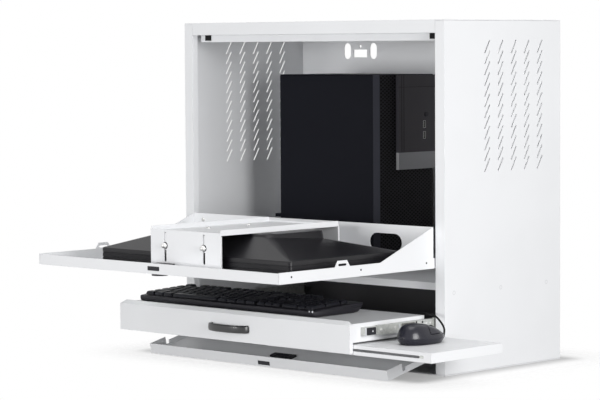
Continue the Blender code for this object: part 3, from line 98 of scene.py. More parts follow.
def take_picture():
    """The photograph's camera: its place, its turn about Z, its tilt and roll, and its focal length."""
    level = math.cos(PITCH)
    forward = np.array((-math.sin(AZIMUTH) * level, math.cos(AZIMUTH) * level, -math.sin(PITCH)))
    right = unit(np.cross(forward, (0, 0, 1)))
    up = np.cross(right, forward)
    side = math.cos(ROLL) * right + math.sin(ROLL) * up
    top = -math.sin(ROLL) * right + math.cos(ROLL) * up
    data = bpy.data.cameras.new("photo_camera")
    data.sensor_width = FILM
    data.lens = LENS
    data.clip_end = FAR
    camera = bpy.data.objects.new("photo_camera", data)
    turn = Matrix(np.stack([side, top, -forward], axis=1)).to_4x4()
    camera.matrix_world = Matrix.Translation(EYE) @ turn
    bpy.context.scene.collection.objects.link(camera)
    bpy.context.scene.camera = camera


LIT_POINT = (0.0, -0.3, -0.1)
WORLD_LIGHT = 0.20


def add_lamp(name, place, size, power):
    """A square area lamp that shines from a place towards the object's middle."""
    data = bpy.data.lights.new(name, "AREA")
    data.size = size
    data.energy = power
    lamp = bpy.data.objects.new(name, data)
    away = unit(np.array(place, float) - np.array(LIT_POINT))
    across = unit(np.cross((0, 0, 1), away))
    turn = Matrix(np.stack([across, np.cross(away, across), away], axis=1)).to_4x4()
    lamp.matrix_world = Matrix.Translation(place) @ turn
    bpy.context.scene.collection.objects.link(lamp)
    return lamp


def seen_directly(tree):
    """1 for rays from the camera, a reflection or a pane, and 0 for the rays that light a surface."""
    rays = tree.nodes.new("ShaderNodeLightPath").outputs
    seen = Term(tree, rays["Is Camera Ray"])
    for kind in ("Is Glossy Ray", "Is Transmission Ray"):
        seen = seen.most(Term(tree, rays[kind]))
    return seen


def light_scene():
    """Soft studio light: a large lamp on the right, one above, two in front and an even white surround.

    The front lamp makes no reflection, so that the closed door's window stays clear.
    """
    add_lamp("right_lamp", (3.0, -1.02, 0.32), 1.45, 78)
    add_lamp("left_lamp", (-0.90, -3.3, 0.05), 0.5, 11)
    front = add_lamp("front_lamp", (0.2, -3.4, 0.05), 0.9, 42)
    front.visible_glossy = False
    add_lamp("top_lamp", (0.3, -0.6, 2.8), 2.0, 33)
    world = bpy.data.worlds.new("studio")
    bpy.context.scene.world = world
    world.use_nodes = True
    tree = world.node_tree
    tree.nodes.clear()
    sky = tree.nodes.new("ShaderNodeBackground")
    sky.inputs["Color"].default_value = (1, 1, 1, 1)
    put(tree, sky.inputs["Strength"], WORLD_LIGHT + seen_directly(tree) * (1 - WORLD_LIGHT))
    out = tree.nodes.new("ShaderNodeOutputWorld")
    tree.links.new(sky.outputs[0], out.inputs["Surface"])
    bpy.context.scene.view_settings.view_transform = "Standard"


# Shaders


def put(tree, socket, value):
    """Links a term to a socket, or sets the socket to a number, colour or vector."""
    if isinstance(value, Term):
        tree.links.new(value.socket, socket)
    else:
        socket.default_value = value


class Term:
    """A shader value that takes arithmetic: each operation adds one Math node to its tree."""

    def __init__(self, tree, socket):
        self.tree = tree
        self.socket = socket

    def math(self, kind, *values):
        node = self.tree.nodes.new("ShaderNodeMath")
        node.operation = kind
        for socket, value in zip(node.inputs, values):
            put(self.tree, socket, value)
        return Term(self.tree, node.outputs[0])

    def __add__(self, other):
        return self.math("ADD", self, other)

    def __radd__(self, other):
        return self.math("ADD", other, self)

    def __sub__(self, other):
        return self.math("SUBTRACT", self, other)

    def __rsub__(self, other):
        return self.math("SUBTRACT", other, self)

    def __mul__(self, other):
        return self.math("MULTIPLY", self, other)

    def __lt__(self, other):
        return self.math("LESS_THAN", self, other)

    def __abs__(self):
        return self.math("ABSOLUTE", self)

    def __mod__(self, other):
        return self.math("FLOORED_MODULO", self, other)

    def most(self, other):
        return self.math("MAXIMUM", self, other)

    def least(self, other):
        return self.math("MINIMUM", self, other)

    def root(self):
        return self.math("SQRT", self)

    def smooth(self, start, end):
        """0 below start and 1 above end, with a smooth step between them."""
        node = self.tree.nodes.new("ShaderNodeMapRange")
        node.interpolation_type = "SMOOTHSTEP"
        put(self.tree, node.inputs["Value"], self)
        node.inputs["From Min"].default_value = start
        node.inputs["From Max"].default_value = end
        return Term(self.tree, node.outputs[0])


def linear(colour):
    """An sRGB colour from 0 to 255 as linear RGBA."""
    share = np.array(colour, float) / 255
    value = np.where(share <= 0.04045, share / 12.92, ((share + 0.055) / 1.055) ** 2.4)
    return (*value.tolist(), 1.0)


class Shader:
    """One Principled material: its node tree, a method for any node, and its few varying inputs."""

    def __init__(self, name, **constants):
        self.name = name
        self.material = bpy.data.materials.new(name)
        self.material.use_nodes = True
        self.tree = self.material.node_tree
        self.surface = self.tree.nodes["Principled BSDF"]
        for key, value in constants.items():
            self.surface.inputs[key.replace("_", " ")].default_value = value

    def tint(self, share, colour):
        """Mixes the base colour made so far with another one."""
        before = Term(self.tree, self.surface.inputs["Base Color"].links[0].from_socket)
        self.set("Base Color", self.mix(share, before, colour))

    def node(self, kind, settings=None, inputs=None, output=0):
        made = self.tree.nodes.new(kind)
        for key, value in (settings or {}).items():
            setattr(made, key, value)
        for key, value in (inputs or {}).items():
            put(self.tree, made.inputs[key], value)
        return Term(self.tree, made.outputs[output])

    def place(self):
        return self.node("ShaderNodeTexCoord", output="Object")

    def axes(self):
        """The three object coordinates of a point."""
        split = self.node("ShaderNodeSeparateXYZ", None, {"Vector": self.place()}).socket.node
        return [Term(self.tree, socket) for socket in split.outputs]

    def noise(self, scale, detail=2.0, stretch=(1, 1, 1)):
        """Noise from 0 to 1 in object coordinates, stretched along each axis."""
        moved = self.node(
            "ShaderNodeVectorMath", {"operation": "MULTIPLY"}, {0: self.place(), 1: stretch}
        )
        return self.node("ShaderNodeTexNoise", None, {"Vector": moved, "Scale": scale, "Detail": detail})

    def mix(self, share, first, second):
        return self.node("ShaderNodeMix", {"data_type": "RGBA"}, {0: share, 6: first, 7: second}, 2)

    def set(self, name, value):
        put(self.tree, self.surface.inputs[name], value)

    def relief(self, height, depth, strength=1.0, edge=0.0):
        """A bump of that depth, over edges rounded by a radius where one is given."""
        inputs = {"Height": height, "Distance": depth, "Strength": strength}
        if edge:
            inputs["Normal"] = self.node("ShaderNodeBevel", {"samples": 4}, {"Radius": edge})
        self.set("Normal", self.node("ShaderNodeBump", None, inputs))


WHITE = (231, 232, 234)
SCREW_TONE = (214, 215, 217)
PAINTED_SHADE = (66, 65, 68)
SHELF_SCREWS = (0.0251, 0.1545, 0.2861)
SHELF_MIDDLE, SHELF_UNDER = 0.1447, 0.1350
SCREW_RIM = 0.0032
BACK_INNER = 0.3262


def coated(name, colour, rough, grain=900.0, depth=0.00006, edge=0.0006, spread=0.03, shine=0.5):
    """Painted or moulded finish: slight changes of tone, a fine grain and softened edges."""
    shader = Shader(name, Specular_IOR_Level=shine)
    tone = shader.noise(7.0)
    fine = shader.noise(grain)
    light = linear(colour)
    dark = (*[c * (1 - spread) for c in light[:3]], 1.0)
    shader.set("Base Color", shader.mix(tone.smooth(0.35, 0.65), dark, light))
    shader.set("Roughness", rough + (fine - 0.5) * 0.12)
    shader.relief(fine, depth, 1.0, edge)
    return shader


def white_paint(name):
    """White paint on sheet steel."""
    return coated(name, WHITE, 0.46, 700.0, 0.00005, 0.0007, 0.02)


def panel_paint():
    """White paint of the side panels, with the rims of the flush screws that hold the shelf."""
    shader = white_paint("panel_paint")
    _, y, z = shader.axes()
    rise = z - (SHELF_MIDDLE + CABINET[2])
    rim = 0.0
    for back in SHELF_SCREWS:
        across = y - (back + CABINET[1])
        away = (across * across + rise * rise).root()
        rim = (1 - abs(away - SCREW_RIM).smooth(0.0004, 0.0011)) + rim
    shader.tint(rim, linear(SCREW_TONE))
    return shader


def back_paint_painted_shade():
    """White paint of the back panel, with painted shade: its inner face is tinted dark grey below the
    shelf.
    """
    shader = white_paint("back_paint_painted_shade")
    _, y, z = shader.axes()
    inner = 1 - (y - (BACK_INNER + CABINET[1])).smooth(-0.0002, 0.0002)
    below = 1 - (z - (SHELF_UNDER + CABINET[2])).smooth(-0.002, 0.002)
    # Painted shade: the inner face below the shelf is tinted dark grey, standing for the shade in the lower
    # bay.
    shader.tint(inner * below, linear(PAINTED_SHADE))
    return shader


def zinc_plate():
    """Zinc plate: a bright grey metal with a faint crystal pattern and a drawn grain along Y."""
    shader = Shader("zinc")
    cells = shader.node("ShaderNodeTexVoronoi", None, {"Vector": shader.place(), "Scale": 260.0}, "Color")
    tone = shader.node("ShaderNodeSeparateXYZ", None, {"Vector": cells})
    drawn = shader.noise(500.0, 1.0, (1, 0.04, 1))
    shader.set("Base Color", shader.mix(tone, linear((186, 188, 185)), linear((204, 206, 202))))
    shader.set("Metallic", 0.55)
    shader.set("Roughness", 0.30 + drawn * 0.16)
    shader.relief(drawn, 0.00004, 1.0, 0.0004)
    return shader


def turned_steel():
    """Plated steel of screws and pins."""
    shader = Shader("steel")
    fine = shader.noise(700.0)
    shader.set("Base Color", shader.mix(fine, linear((196, 196, 194)), linear((228, 228, 226))))
    shader.set("Metallic", 0.9)
    shader.set("Roughness", 0.24 + fine * 0.14)
    shader.relief(fine, 0.00003, 1.0, 0.0003)
    return shader


def clear_sheet():
    """Clear acrylic window."""
    shader = Shader("clear_pane", Transmission_Weight=0.96, IOR=1.49)
    haze = shader.noise(40.0)
    shader.set("Base Color", linear((242, 248, 247)))
    shader.set("Roughness", 0.02 + haze * 0.05)
    return shader


def screen_glass():
    """Dark display under a satin coat."""
    shader = Shader("screen_glass", Coat_Weight=0.5, Coat_Roughness=0.2)
    haze = shader.noise(60.0)
    shader.set("Base Color", shader.mix(haze, linear((10, 10, 13)), linear((18, 18, 22))))
    shader.set("Roughness", 0.22 + haze * 0.1)
    return shader


def port_panel():
    """Front panel of the tower: dark upper field with thin seams, a lighter strip at its foot, and a
    painted highlight on its front edge face.
    """
    shader = Shader("port_panel", Specular_IOR_Level=0.2)
    strip, level_seam, upright_seams = 0.0317, 0.0220, (0.0080, 0.0140)
    low, high = box("pc_port_panel")
    _, y, z = shader.axes()
    fine = shader.noise(1100.0)
    side = 1 - (y - (low[1] + 0.0004)).smooth(-0.0001, 0.0001)
    upper = (z - (low[2] + strip)).smooth(-0.0002, 0.0002)
    seam = abs(z - (high[2] - level_seam)) < 0.0005
    for along in upright_seams:
        seam = seam.most(abs(y - (low[1] + along)) < 0.0010)
    seam = seam * upper * (1 - side)
    field = shader.mix(upper, linear((140, 140, 142)), linear((62, 59, 63)))
    # Painted highlight: the panel's front edge face takes a lighter, bluer copy of its colours.
    highlit_flank = shader.mix(upper, linear((150, 150, 152)), linear((62, 61, 66)))
    face = shader.mix(side, field, highlit_flank)
    shader.set("Base Color", shader.mix(seam, face, linear((27, 25, 27))))
    shader.set("Roughness", 0.46 + (fine - 0.5) * 0.15)
    shader.relief(fine * 0.3 - seam, 0.0003, 0.7, 0.0005)
    return shader


def grille():
    """Front of the tower: a diamond grid of thin ribs over holes painted near-black as painted shade, and a
    plain side.
    """
    shader = Shader("grille", Specular_IOR_Level=0.1)
    low, _ = box("pc_front_bezel")
    _, y, z = shader.axes()
    pitch, slope = 0.0069, 0.645
    rising = abs((y * slope + z) % pitch - pitch / 2)
    falling = abs((y * slope - z) % pitch - pitch / 2)
    rib = 1 - rising.least(falling).smooth(0.0007, 0.0017)
    bar = 1 - (y - (low[1] + 0.0005)).smooth(-0.0001, 0.0001)
    fine = shader.noise(900.0)
    # Painted shade: the holes between the ribs are painted near-black; the surface is not pierced.
    web = shader.mix(rib, linear((3, 3, 4)), linear((44, 43, 46)))
    shader.set("Base Color", shader.mix(bar, web, linear((45, 46, 53))))
    shader.set("Roughness", 0.55 + (fine - 0.5) * 0.2)
    shader.relief(rib.most(bar) + fine * 0.05, 0.0006, 0.6, 0.0006)
    return shader


SHADERS = (
    white_paint("white_paint"),
    panel_paint(),
    back_paint_painted_shade(),
    zinc_plate(),
    turned_steel(),
    coated("black_plastic", (34, 33, 38), 0.45, 1300.0, 0.00008, shine=0.25),
    coated("black_steel", (20, 21, 27), 0.55, 1000.0, 0.00010, shine=0.06),
    coated("dark_grey_plastic", (56, 57, 66), 0.36, 1500.0, 0.00005, shine=0.3),
    coated("black_rubber", (24, 24, 25), 0.72, 1200.0, 0.00010, shine=0.2),
    clear_sheet(),
    screen_glass(),
    coated("keycaps", (24, 24, 30), 0.45, 1600.0, 0.00006, 0.0, shine=0.2),
    coated("monitor_plastic", (14, 13, 17), 0.36, 1300.0, 0.00006, shine=0.36),
    coated("mouse_plastic", (29, 29, 38), 0.25, 1500.0, 0.00004, shine=0.40),
    coated("handle", (16, 16, 18), 0.30, 1200.0, 0.00003, shine=0.8),
    coated("mid_grey", (112, 112, 108), 0.5, 900.0, 0.00005, shine=0.3),
    coated("dark_bolt", (44, 44, 48), 0.5, 1200.0, shine=0.2),
    port_panel(),
    grille(),
    coated("port_dark", (8, 8, 9), 0.6),
    coated("light_mark", (206, 208, 212), 0.35),
)
MATERIALS = {shader.name: shader.material for shader in SHADERS}


def dress_frame():
    """Gives every CAD node the material of its slot in the record, or a look of its own."""
    slots = {row["node"]: row["material_slot"] for row in frame["record"]["subparts"]}
    looks = {
        "grille": ["pc_front_bezel"],
        "port_panel": ["pc_port_panel"],
        "panel_paint": ["left_side_panel", "right_side_panel"],
        "back_paint_painted_shade": ["back_panel"],
        "dark_bolt": ["door_latch_bolt", "flap_latch_bolt", "pc_power_button"],
        "monitor_plastic": ["monitor_bezel"],
    }
    for look, names in looks.items():
        slots.update(dict.fromkeys(names, look))
    for name, node in NODES.items():
        if not node.material_slots:
            node.data.materials.append(None)
        for slot in node.material_slots:
            slot.link = "OBJECT"
            slot.material = MATERIALS[slots[name]]


# Surfaces


def volume(points, faces):
    """Signed volume of a closed surface of quads and triangles."""
    total = 0.0
    for corners in faces:
        fan = np.array(corners)
        for k in range(1, fan.shape[1] - 1):
            a, b, c = points[fan[:, 0]], points[fan[:, k]], points[fan[:, k + 1]]
            total += np.einsum("ij,ij->i", a, np.cross(b, c)).sum()
    return total


def skin_parts(rings, thin):
    """Points, quads and end faces of one closed surface through rings of equal count.

    An end is a fan about its middle or, where the ring is thin, a strip from one half to the other.
    """
    count, around = rings.shape[:2]
    points = rings.reshape(-1, 3)
    row = np.arange(count - 1)[:, None] * around
    here = np.arange(around)[None]
    there = (here + 1) % around
    quads = np.stack([row + here, row + there, row + around + there, row + around + here], axis=-1)
    quads = quads.reshape(-1, 4)
    final = (count - 1) * around
    if thin:
        near = np.arange(around // 2 - 1)
        far = around - 1 - near
        low = np.stack([near + 1, near, far, far - 1], axis=-1)
        high = low[:, ::-1] + final
    else:
        points = np.vstack([points, rings[0].mean(0), rings[-1].mean(0)])
        first = np.arange(around)
        low = np.stack([np.full(around, count * around), np.roll(first, -1), first], axis=-1)
        high = np.stack([np.full(around, count * around + 1), first, np.roll(first, -1)], axis=-1)
        high[:, 1:] += final
    ends = np.vstack([low, high])
    if volume(points, [quads, ends]) < 0:
        quads, ends = quads[:, ::-1], ends[:, ::-1]
    return points, quads, ends


def skin(name, shells, material, body, sharp=40, thin=False):
    """An object of closed surfaces, each through its rings, that rides on a body of the frame."""
    all_points, all_faces = [], []
    start = 0
    for rings in shells:
        points, quads, ends = skin_parts(np.asarray(rings, float), thin)
        all_points.append(points)
        all_faces += (quads + start).tolist() + (ends + start).tolist()
        start += len(points)
    mesh = bpy.data.meshes.new(name)
    mesh.from_pydata(np.vstack(all_points).tolist(), [], all_faces)
    mesh.polygons.foreach_set("use_smooth", np.ones(len(mesh.polygons), bool))
    mesh.set_sharp_from_angle(angle=math.radians(sharp))
    mesh.materials.append(MATERIALS[material])
    made = bpy.data.objects.new(name, mesh)
    bpy.context.scene.collection.objects.link(made)
    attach(made, body)
    return made


def superellipse(count, power):
    """Unit points round a superellipse: cosine and sine raised to 2 / power, signs kept."""
    angle = TURN * np.arange(count) / count
    wave = np.stack([np.cos(angle), np.sin(angle)], axis=1)
    return np.sign(wave) * np.abs(wave) ** (2 / power)


OFF_AXIS = (0.3, 0.2, 0.9)


def tube_rings(path, radii, sides=12):
    """Circles across a path, each turned from the last by the least turn that follows it."""
    path = np.asarray(path, float)
    ahead = np.gradient(path, axis=0)
    ahead /= np.linalg.norm(ahead, axis=1)[:, None]
    across = np.cross(ahead[0], OFF_AXIS)
    angle = TURN * np.arange(sides) / sides
    rings = []
    for centre, forward, radius in zip(path, ahead, np.broadcast_to(radii, len(path))):
        across = unit(across - forward * (across @ forward))
        other = np.cross(forward, across)
        rings.append(centre + radius * (np.outer(np.cos(angle), across) + np.outer(np.sin(angle), other)))
    return np.array(rings)


def turned(profile, centre, axis, sides=32, ribs=0, rib_depth=0.0):
    """A profile of (radius, height) pairs turned about an axis, with ribs that wave its radius."""
    axis = np.array(axis, float)
    helper = (1, 0, 0) if abs(axis[0]) < 0.9 else (0, 1, 0)
    across = unit(np.cross(axis, helper))
    other = np.cross(axis, across)
    angle = TURN * np.arange(sides) / sides
    wave = 1 + rib_depth * np.cos(ribs * angle)
    circle = np.outer(np.cos(angle) * wave, across) + np.outer(np.sin(angle) * wave, other)
    return np.array([np.array(centre) + r * circle + h * axis for r, h in profile])


def round_box(low, high, radius, count=12):
    """Corner arcs of a rectangle, each a quarter circle of that radius, as one closed line."""
    angle = np.linspace(0, math.pi / 2, count)
    points = []
    for k, (sx, sy) in enumerate(((1, 1), (0, 1), (0, 0), (1, 0))):
        turn = angle + k * math.pi / 2
        middle = np.where((sx, sy), np.array(high) - radius, np.array(low) + radius)
        points.append(middle + radius * np.stack([np.cos(turn), np.sin(turn)], axis=1))
    return np.vstack(points)


def slab(low, high, axis, radius, edge=0.0003):
    """A plate with round corners between two points, with its edges eased along one axis."""
    low, high = np.array(low, float), np.array(high, float)
    across = [k for k in range(3) if k != axis]
    rings = []
    start, end = low[axis], high[axis]
    for along, inset in ((start, edge), (start + edge, 0), (end - edge, 0), (end, edge)):
        flat = round_box(low[across] + inset, high[across] - inset, max(radius - inset, edge))
        ring = np.full((len(flat), 3), along)
        ring[:, across] = flat
        rings.append(ring)
    return np.array(rings)


PAN_HEAD = ((1, 0), (1, 0.35), (0.86, 0.8), (0.5, 1), (0.42, 1), (0.36, 0.5))


def screw_head(centre, axis, radius, height):
    """A pan head with a sunk middle, turned about its axis."""
    return turned([(radius * r, height * h) for r, h in PAN_HEAD], centre, axis, 28)


# Cord
#
# TAIL has each point's distance past the coil and its share of TAIL_RISE. EASE counts the passes that
# ease the first bend. Heights in ROUTE are above the mouse shelf.

CORD_D = 0.0035
COIL_R = 0.012
COIL_STEP = 0.0045
COIL_LAYER = 0.0043
COIL_TURNS = 3
COIL_LAYERS = 4
COIL_CENTRE = (0.195, -0.100)
COIL_POINTS = 48
TAIL = ((0.006, 0.1), (0.012, 0.55), (0.018, 1.0), (0.0225, 1.0))
TAIL_RISE = 0.0026
RELIEF = 0.006
RELIEF_Z = 0.0068
RELIEF_ROOT = 0.004
RELIEF_RINGS, RELIEF_RIBS = 22, 5
LEAD_IN = (0.028, 0.012, CORD_D)
EASE = 3
PLUG_GRIP = (
    (0.0, 0.0030, 0.0028),
    (0.0030, 0.0044, 0.0034),
    (0.0060, 0.0062, 0.0038),
    (0.0068, 0.0076, 0.0040),
    (0.0200, 0.0080, 0.0040),
    (0.0214, 0.0078, 0.0039),
    (0.0220, 0.0072, 0.0034),
)
PLUG_TONGUE = ((0.0215, 0.0060, 0.00225), (0.0335, 0.0060, 0.00225), (0.0340, 0.0058, 0.0020))
SHELF_TOP = 0.0705
NOSE = (0.360, -0.054)
ROUTE = (
    (0.356, -0.0285, 0.0190),
    (0.340, -0.0255, 0.0280),
    (0.320, -0.0200, 0.0367),
    (0.300, -0.0125, 0.0385),
    (0.280, -0.0010, 0.0370),
    (0.261, 0.0045, 0.0300),
    (0.247, 0.0035, 0.0180),
    (0.237, -0.0080, 0.0095),
    (0.230, -0.0260, 0.0080),
    (0.2245, -0.0460, 0.0095),
)


def coil_line():
    """The coil's centre line: it spirals in and out, and goes down a layer where it reverses."""
    half = COIL_POINTS // 2
    wide = COIL_R + COIL_STEP * COIL_TURNS
    radius, level = [wide], [0.0]
    for layer in range(COIL_LAYERS):
        ends = (wide, COIL_R) if layer % 2 == 0 else (COIL_R, wide)
        radius += list(np.linspace(*ends, COIL_TURNS * COIL_POINTS + 1)[1:])
        level += [float(layer)] * (COIL_TURNS * COIL_POINTS)
        if layer < COIL_LAYERS - 1:
            radius += [ends[1]] * half
            level += list(layer + np.linspace(0, 1, half + 1)[1:])
    radius = np.array(radius)
    angle = -TURN * np.arange(len(radius)) / COIL_POINTS
    z = SHELF_TOP + GAP + CORD_D / 2 + COIL_LAYER * (COIL_LAYERS - 1 - np.array(level))
    cx, cy = COIL_CENTRE
    turns = np.stack([cx + radius * np.cos(angle), cy + radius * np.sin(angle), z], axis=1)
    along = unit(turns[-1] - turns[-2])
    tail = [turns[-1] + along * d + np.array((0, 0, TAIL_RISE * r)) for d, r in TAIL]
    return np.vstack([turns, tail])


def smooth_line(points, step):
    """Points a step apart on a smooth curve through the given ones."""
    points = np.array(points, float)
    ends = np.vstack([2 * points[0] - points[1], points, 2 * points[-1] - points[-2]])
    share = np.linspace(0, 1, 60, endpoint=False)[:, None]
    fine = []
    for p0, p1, p2, p3 in zip(ends, ends[1:], ends[2:], ends[3:]):
        bend = (2 * p0 - 5 * p1 + 4 * p2 - p3) * share**2 + (3 * p1 - p0 - 3 * p2 + p3) * share**3
        fine.append(p1 + ((p2 - p0) * share + bend) / 2)
    fine = np.vstack([*fine, points[-1:]])
    along = np.concatenate([[0], np.cumsum(np.linalg.norm(np.diff(fine, axis=0), axis=1))])
    places = np.linspace(0, along[-1], max(2, round(along[-1] / step)) + 1)
    return np.stack([np.interp(places, along, fine[:, k]) for k in range(3)], axis=1)


def cord_line():
    """The whole cord, from the mouse's strain relief to its plug, with its first bend eased."""
    coil = coil_line()
    lead = unit(coil[1] - coil[0])
    start = coil[0] - lead * (CORD_D + GAP)
    out = NOSE[1] + RELIEF + GAP
    first = [(NOSE[0], y, SHELF_TOP + RELIEF_Z) for y in (out, out + CORD_D)]
    middle = [(x, y, SHELF_TOP + z) for x, y, z in ROUTE]
    last = [start - lead * d for d in LEAD_IN]
    route = np.array([*first, *middle, *last])
    for _ in range(EASE):
        route[2:4] = (route[1:3] + 4 * route[2:4] + route[3:5]) / 6
    run = smooth_line(list(route[1:]), CORD_D)
    return np.vstack([first[:1], run, start, coil]) + CABINET


def plug_rings(line, stations, power):
    """Superellipses past a cord's end, each from its (distance, half width, half height)."""
    ahead = unit(line[-1] - line[-2])
    flat = unit(np.cross((0, 0, 1), ahead))
    rise = np.cross(ahead, flat)
    shape = superellipse(32, power)
    rings = []
    for along, wide, high in stations:
        centre = line[-1] + ahead * (along + GAP)
        rings.append(centre + np.outer(shape[:, 0] * wide, flat) + np.outer(shape[:, 1] * high, rise))
    return np.array(rings)


def make_cord():
    """Mouse cord with its strain relief, and the plug at the coil's end."""
    line = cord_line()
    tube = tube_rings(line, CORD_D / 2)
    cord = skin("cord", [tube], "black_rubber", "pull_out_shelf", 60)
    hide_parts("mouse_cord", "mouse_cord_coil")
    grip = plug_rings(line, PLUG_GRIP, 5)
    plug = skin("plug_grip", [grip], "black_plastic", "pull_out_shelf")
    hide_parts("mouse_plug")
    tongue = plug_rings(line, PLUG_TONGUE, 14)
    metal = skin("plug_tongue", [tongue], "steel", "pull_out_shelf")
    steps = np.linspace(0, 1, RELIEF_RINGS)
    sleeve = 0.0030 - 0.0009 * steps + 0.00018 * np.cos(steps * TURN * RELIEF_RIBS)
    y = NOSE[1] - RELIEF_ROOT + steps * (RELIEF + RELIEF_ROOT)
    level = np.full(RELIEF_RINGS, SHELF_TOP + RELIEF_Z)
    axis = np.stack([np.full(RELIEF_RINGS, NOSE[0]), y, level], axis=1) + CABINET
    relief = tube_rings(axis, sleeve, 20)
    skin("strain_relief", [relief], "black_rubber", "pull_out_shelf")


# Mouse

MOUSE_HALF, MOUSE_REACH, MOUSE_TOP = 0.029, 0.050, 0.0355
MOUSE_CENTRE = cabinet(0.360, -0.104, SHELF_TOP + GAP)
MOUSE_PEAK = 0.29
MOUSE_FALL_REAR, MOUSE_FALL_NOSE = 0.50, 0.64
MOUSE_END, MOUSE_END_FALL = 0.10, 0.28
MOUSE_OVAL = 2.3
MOUSE_BLUNT = 0.034
MOUSE_ARCH = 0.75
MOUSE_FOOT, MOUSE_WAIST = 0.17, 0.012
HOLLOW, HOLLOW_START, HOLLOW_LONG = 0.10, 0.14, 0.76
HOLLOW_TOP = math.radians(68)
BUTTON_LOW = 0.0177
BUTTON_START = 0.483
BUTTON_END = 0.905
SEAM_HALF = 0.005
BED_BEHIND, BED_BELOW, BED_INSIDE = 0.012, 0.0022, 0.0012
BED_DEPTH, BED_WIDTH = 0.110, 0.945
WHEEL_ALONG = 0.74
SLOT_HALF, SLOT_INSIDE, SLOT_DEPTH, SLOT_ABOVE = 0.115, 0.0014, 0.16, 0.02
CAP_SHRINK = np.array((0.985, 1, 0.965))
WHEEL_RIM = ((0.55, 1.0), (0.86, 0.97), (0.96, 0.75), (1.0, 0.3))
WHEEL_FIT = 0.97


def mouse_size(along):
    """Half width and height of the mouse's arched section, from its rear at 0 to its nose at 1."""
    behind = along < MOUSE_PEAK
    side = np.where(behind, 1 - along / MOUSE_PEAK, (along - MOUSE_PEAK) / (1 - MOUSE_PEAK))
    fall = np.where(behind, MOUSE_FALL_REAR * side**3, MOUSE_FALL_NOSE * side**2)
    end = np.clip(1 - np.minimum(along, 1 - along) / MOUSE_END, 0, 1)
    close = 1 - MOUSE_END_FALL * (1 - np.sqrt(1 - end**2))
    oval = MOUSE_BLUNT + (1 - MOUSE_BLUNT) * (1 - np.abs(2 * along - 1) ** MOUSE_OVAL)
    return MOUSE_HALF * oval ** (1 / MOUSE_OVAL), MOUSE_TOP * close * (1 - fall)


def mouse_points(along, angle):
    """Points of the arch: width times cosine and height times sine, each to a power.

    A hollow at each flank is a sine wave squared along the mouse times one up the flank, deepest at
    mid length. Below its waist the mouse draws in towards its foot.
    """
    wide, high = mouse_size(along)
    wave = np.cos(angle)
    lean = np.clip(np.arcsin(np.abs(np.sin(angle))) / HOLLOW_TOP, 0, 1)
    span = np.clip((along - HOLLOW_START) / HOLLOW_LONG, 0, 1)
    hollow = np.sin(math.pi * span) ** 2 * np.sin(math.pi * lean) ** 2
    x = wide * np.sign(wave) * np.abs(wave) ** MOUSE_ARCH * (1 - HOLLOW * hollow)
    z = high * np.abs(np.sin(angle)) ** MOUSE_ARCH
    draw = 1 - MOUSE_FOOT * np.clip(1 - z / MOUSE_WAIST, 0, 1) ** 1.5
    y = MOUSE_REACH * (2 * along - 1) + 0 * angle
    return np.stack([x * draw, y * draw, z], axis=-1)


def make_mouse():
    """Mouse body with a sunk bed under its buttons, two button shells and a ribbed wheel."""
    along = (1 - np.cos(np.linspace(0, math.pi, 181)))[:, None] / 2
    arch = mouse_points(along, np.linspace(0, math.pi, 161)[None])
    across, height = np.abs(arch[..., 0]), arch[..., 2]
    bed = (along > BUTTON_START - BED_BEHIND) & (height > BUTTON_LOW - BED_BELOW)
    bed &= across > SEAM_HALF - BED_INSIDE
    slot = (np.abs(along - WHEEL_ALONG) < SLOT_HALF) & (across < SEAM_HALF - SLOT_INSIDE)
    slot &= height > SLOT_ABOVE
    arch[..., 2] *= 1 - BED_DEPTH * bed - SLOT_DEPTH * slot
    arch[..., 0] *= np.where(bed, BED_WIDTH, 1.0)
    arch += MOUSE_CENTRE
    body = skin("mouse_body", [arch], "mouse_plastic", "pull_out_shelf", 50)
    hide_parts("mouse_shell")
    stations = np.linspace(BUTTON_START, BUTTON_END, 44)
    wide, high = mouse_size(stations)
    near = np.arcsin(np.clip(BUTTON_LOW / high, 0, 1) ** (1 / MOUSE_ARCH))
    far = np.arccos((SEAM_HALF / wide) ** (1 / MOUSE_ARCH))
    sweep = near[:, None] + (far - near)[:, None] * np.linspace(0, 1, 30)[None]
    outer = mouse_points(stations[:, None], sweep)
    inner = outer * CAP_SHRINK
    shell = np.concatenate([outer, inner[:, ::-1]], axis=1)
    for side, turn in (("right", 1), ("left", -1)):
        cap = skin(
            f"mouse_{side}_cap",
            [shell * np.array((turn, 1, 1)) + MOUSE_CENTRE],
            "mouse_plastic",
            f"{side}_click",
            thin=True,
        )
        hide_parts(f"mouse_{side}_button")
    low, high = box("mouse_wheel")
    radius = (high[2] - low[2]) / 2
    half = (high[0] - low[0]) / 2
    rim = [(r, -h) for r, h in WHEEL_RIM] + list(WHEEL_RIM[::-1])
    profile = [(r * radius * WHEEL_FIT, h * half) for r, h in rim]
    wheel = turned(profile, (low + high) / 2, (1, 0, 0), 96, 24, 0.03)
    tyre = skin("wheel_tyre", [wheel], "black_rubber", "scroll_wheel")
    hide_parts("mouse_wheel")


# Keyboard
#
# KEY_LEVELS has heights with their insets, KEY_DISH shares of the top with their depths, and CASE_EDGE
# shares of CASE_RIM: how far the section draws in, and how far it stands from the case's end.

KEY = 0.019
KEYS_WIDE, KEYS_DEEP = 22.5, 6.25
KEY_H = 0.006
KEY_GAP = 0.0008
KEY_LEVELS = (
    (0.0004, 0.0),
    (0.0010, 0.0),
    (KEY_H * 0.86, 0.0017),
    (KEY_H * 0.97, 0.0022),
    (KEY_H, 0.0031),
)
KEY_DISH = ((0.72, 0.00035), (0.40, 0.0007), (0.12, 0.0008))
DECK_FRONT, DECK_REAR = 0.012, 0.018
CASE_RIM = 0.0035
CASE_EDGE = ((1.0, 0.0), (0.75, 0.2), (0.45, 0.45), (0.2, 0.75), (0.0, 1.0))


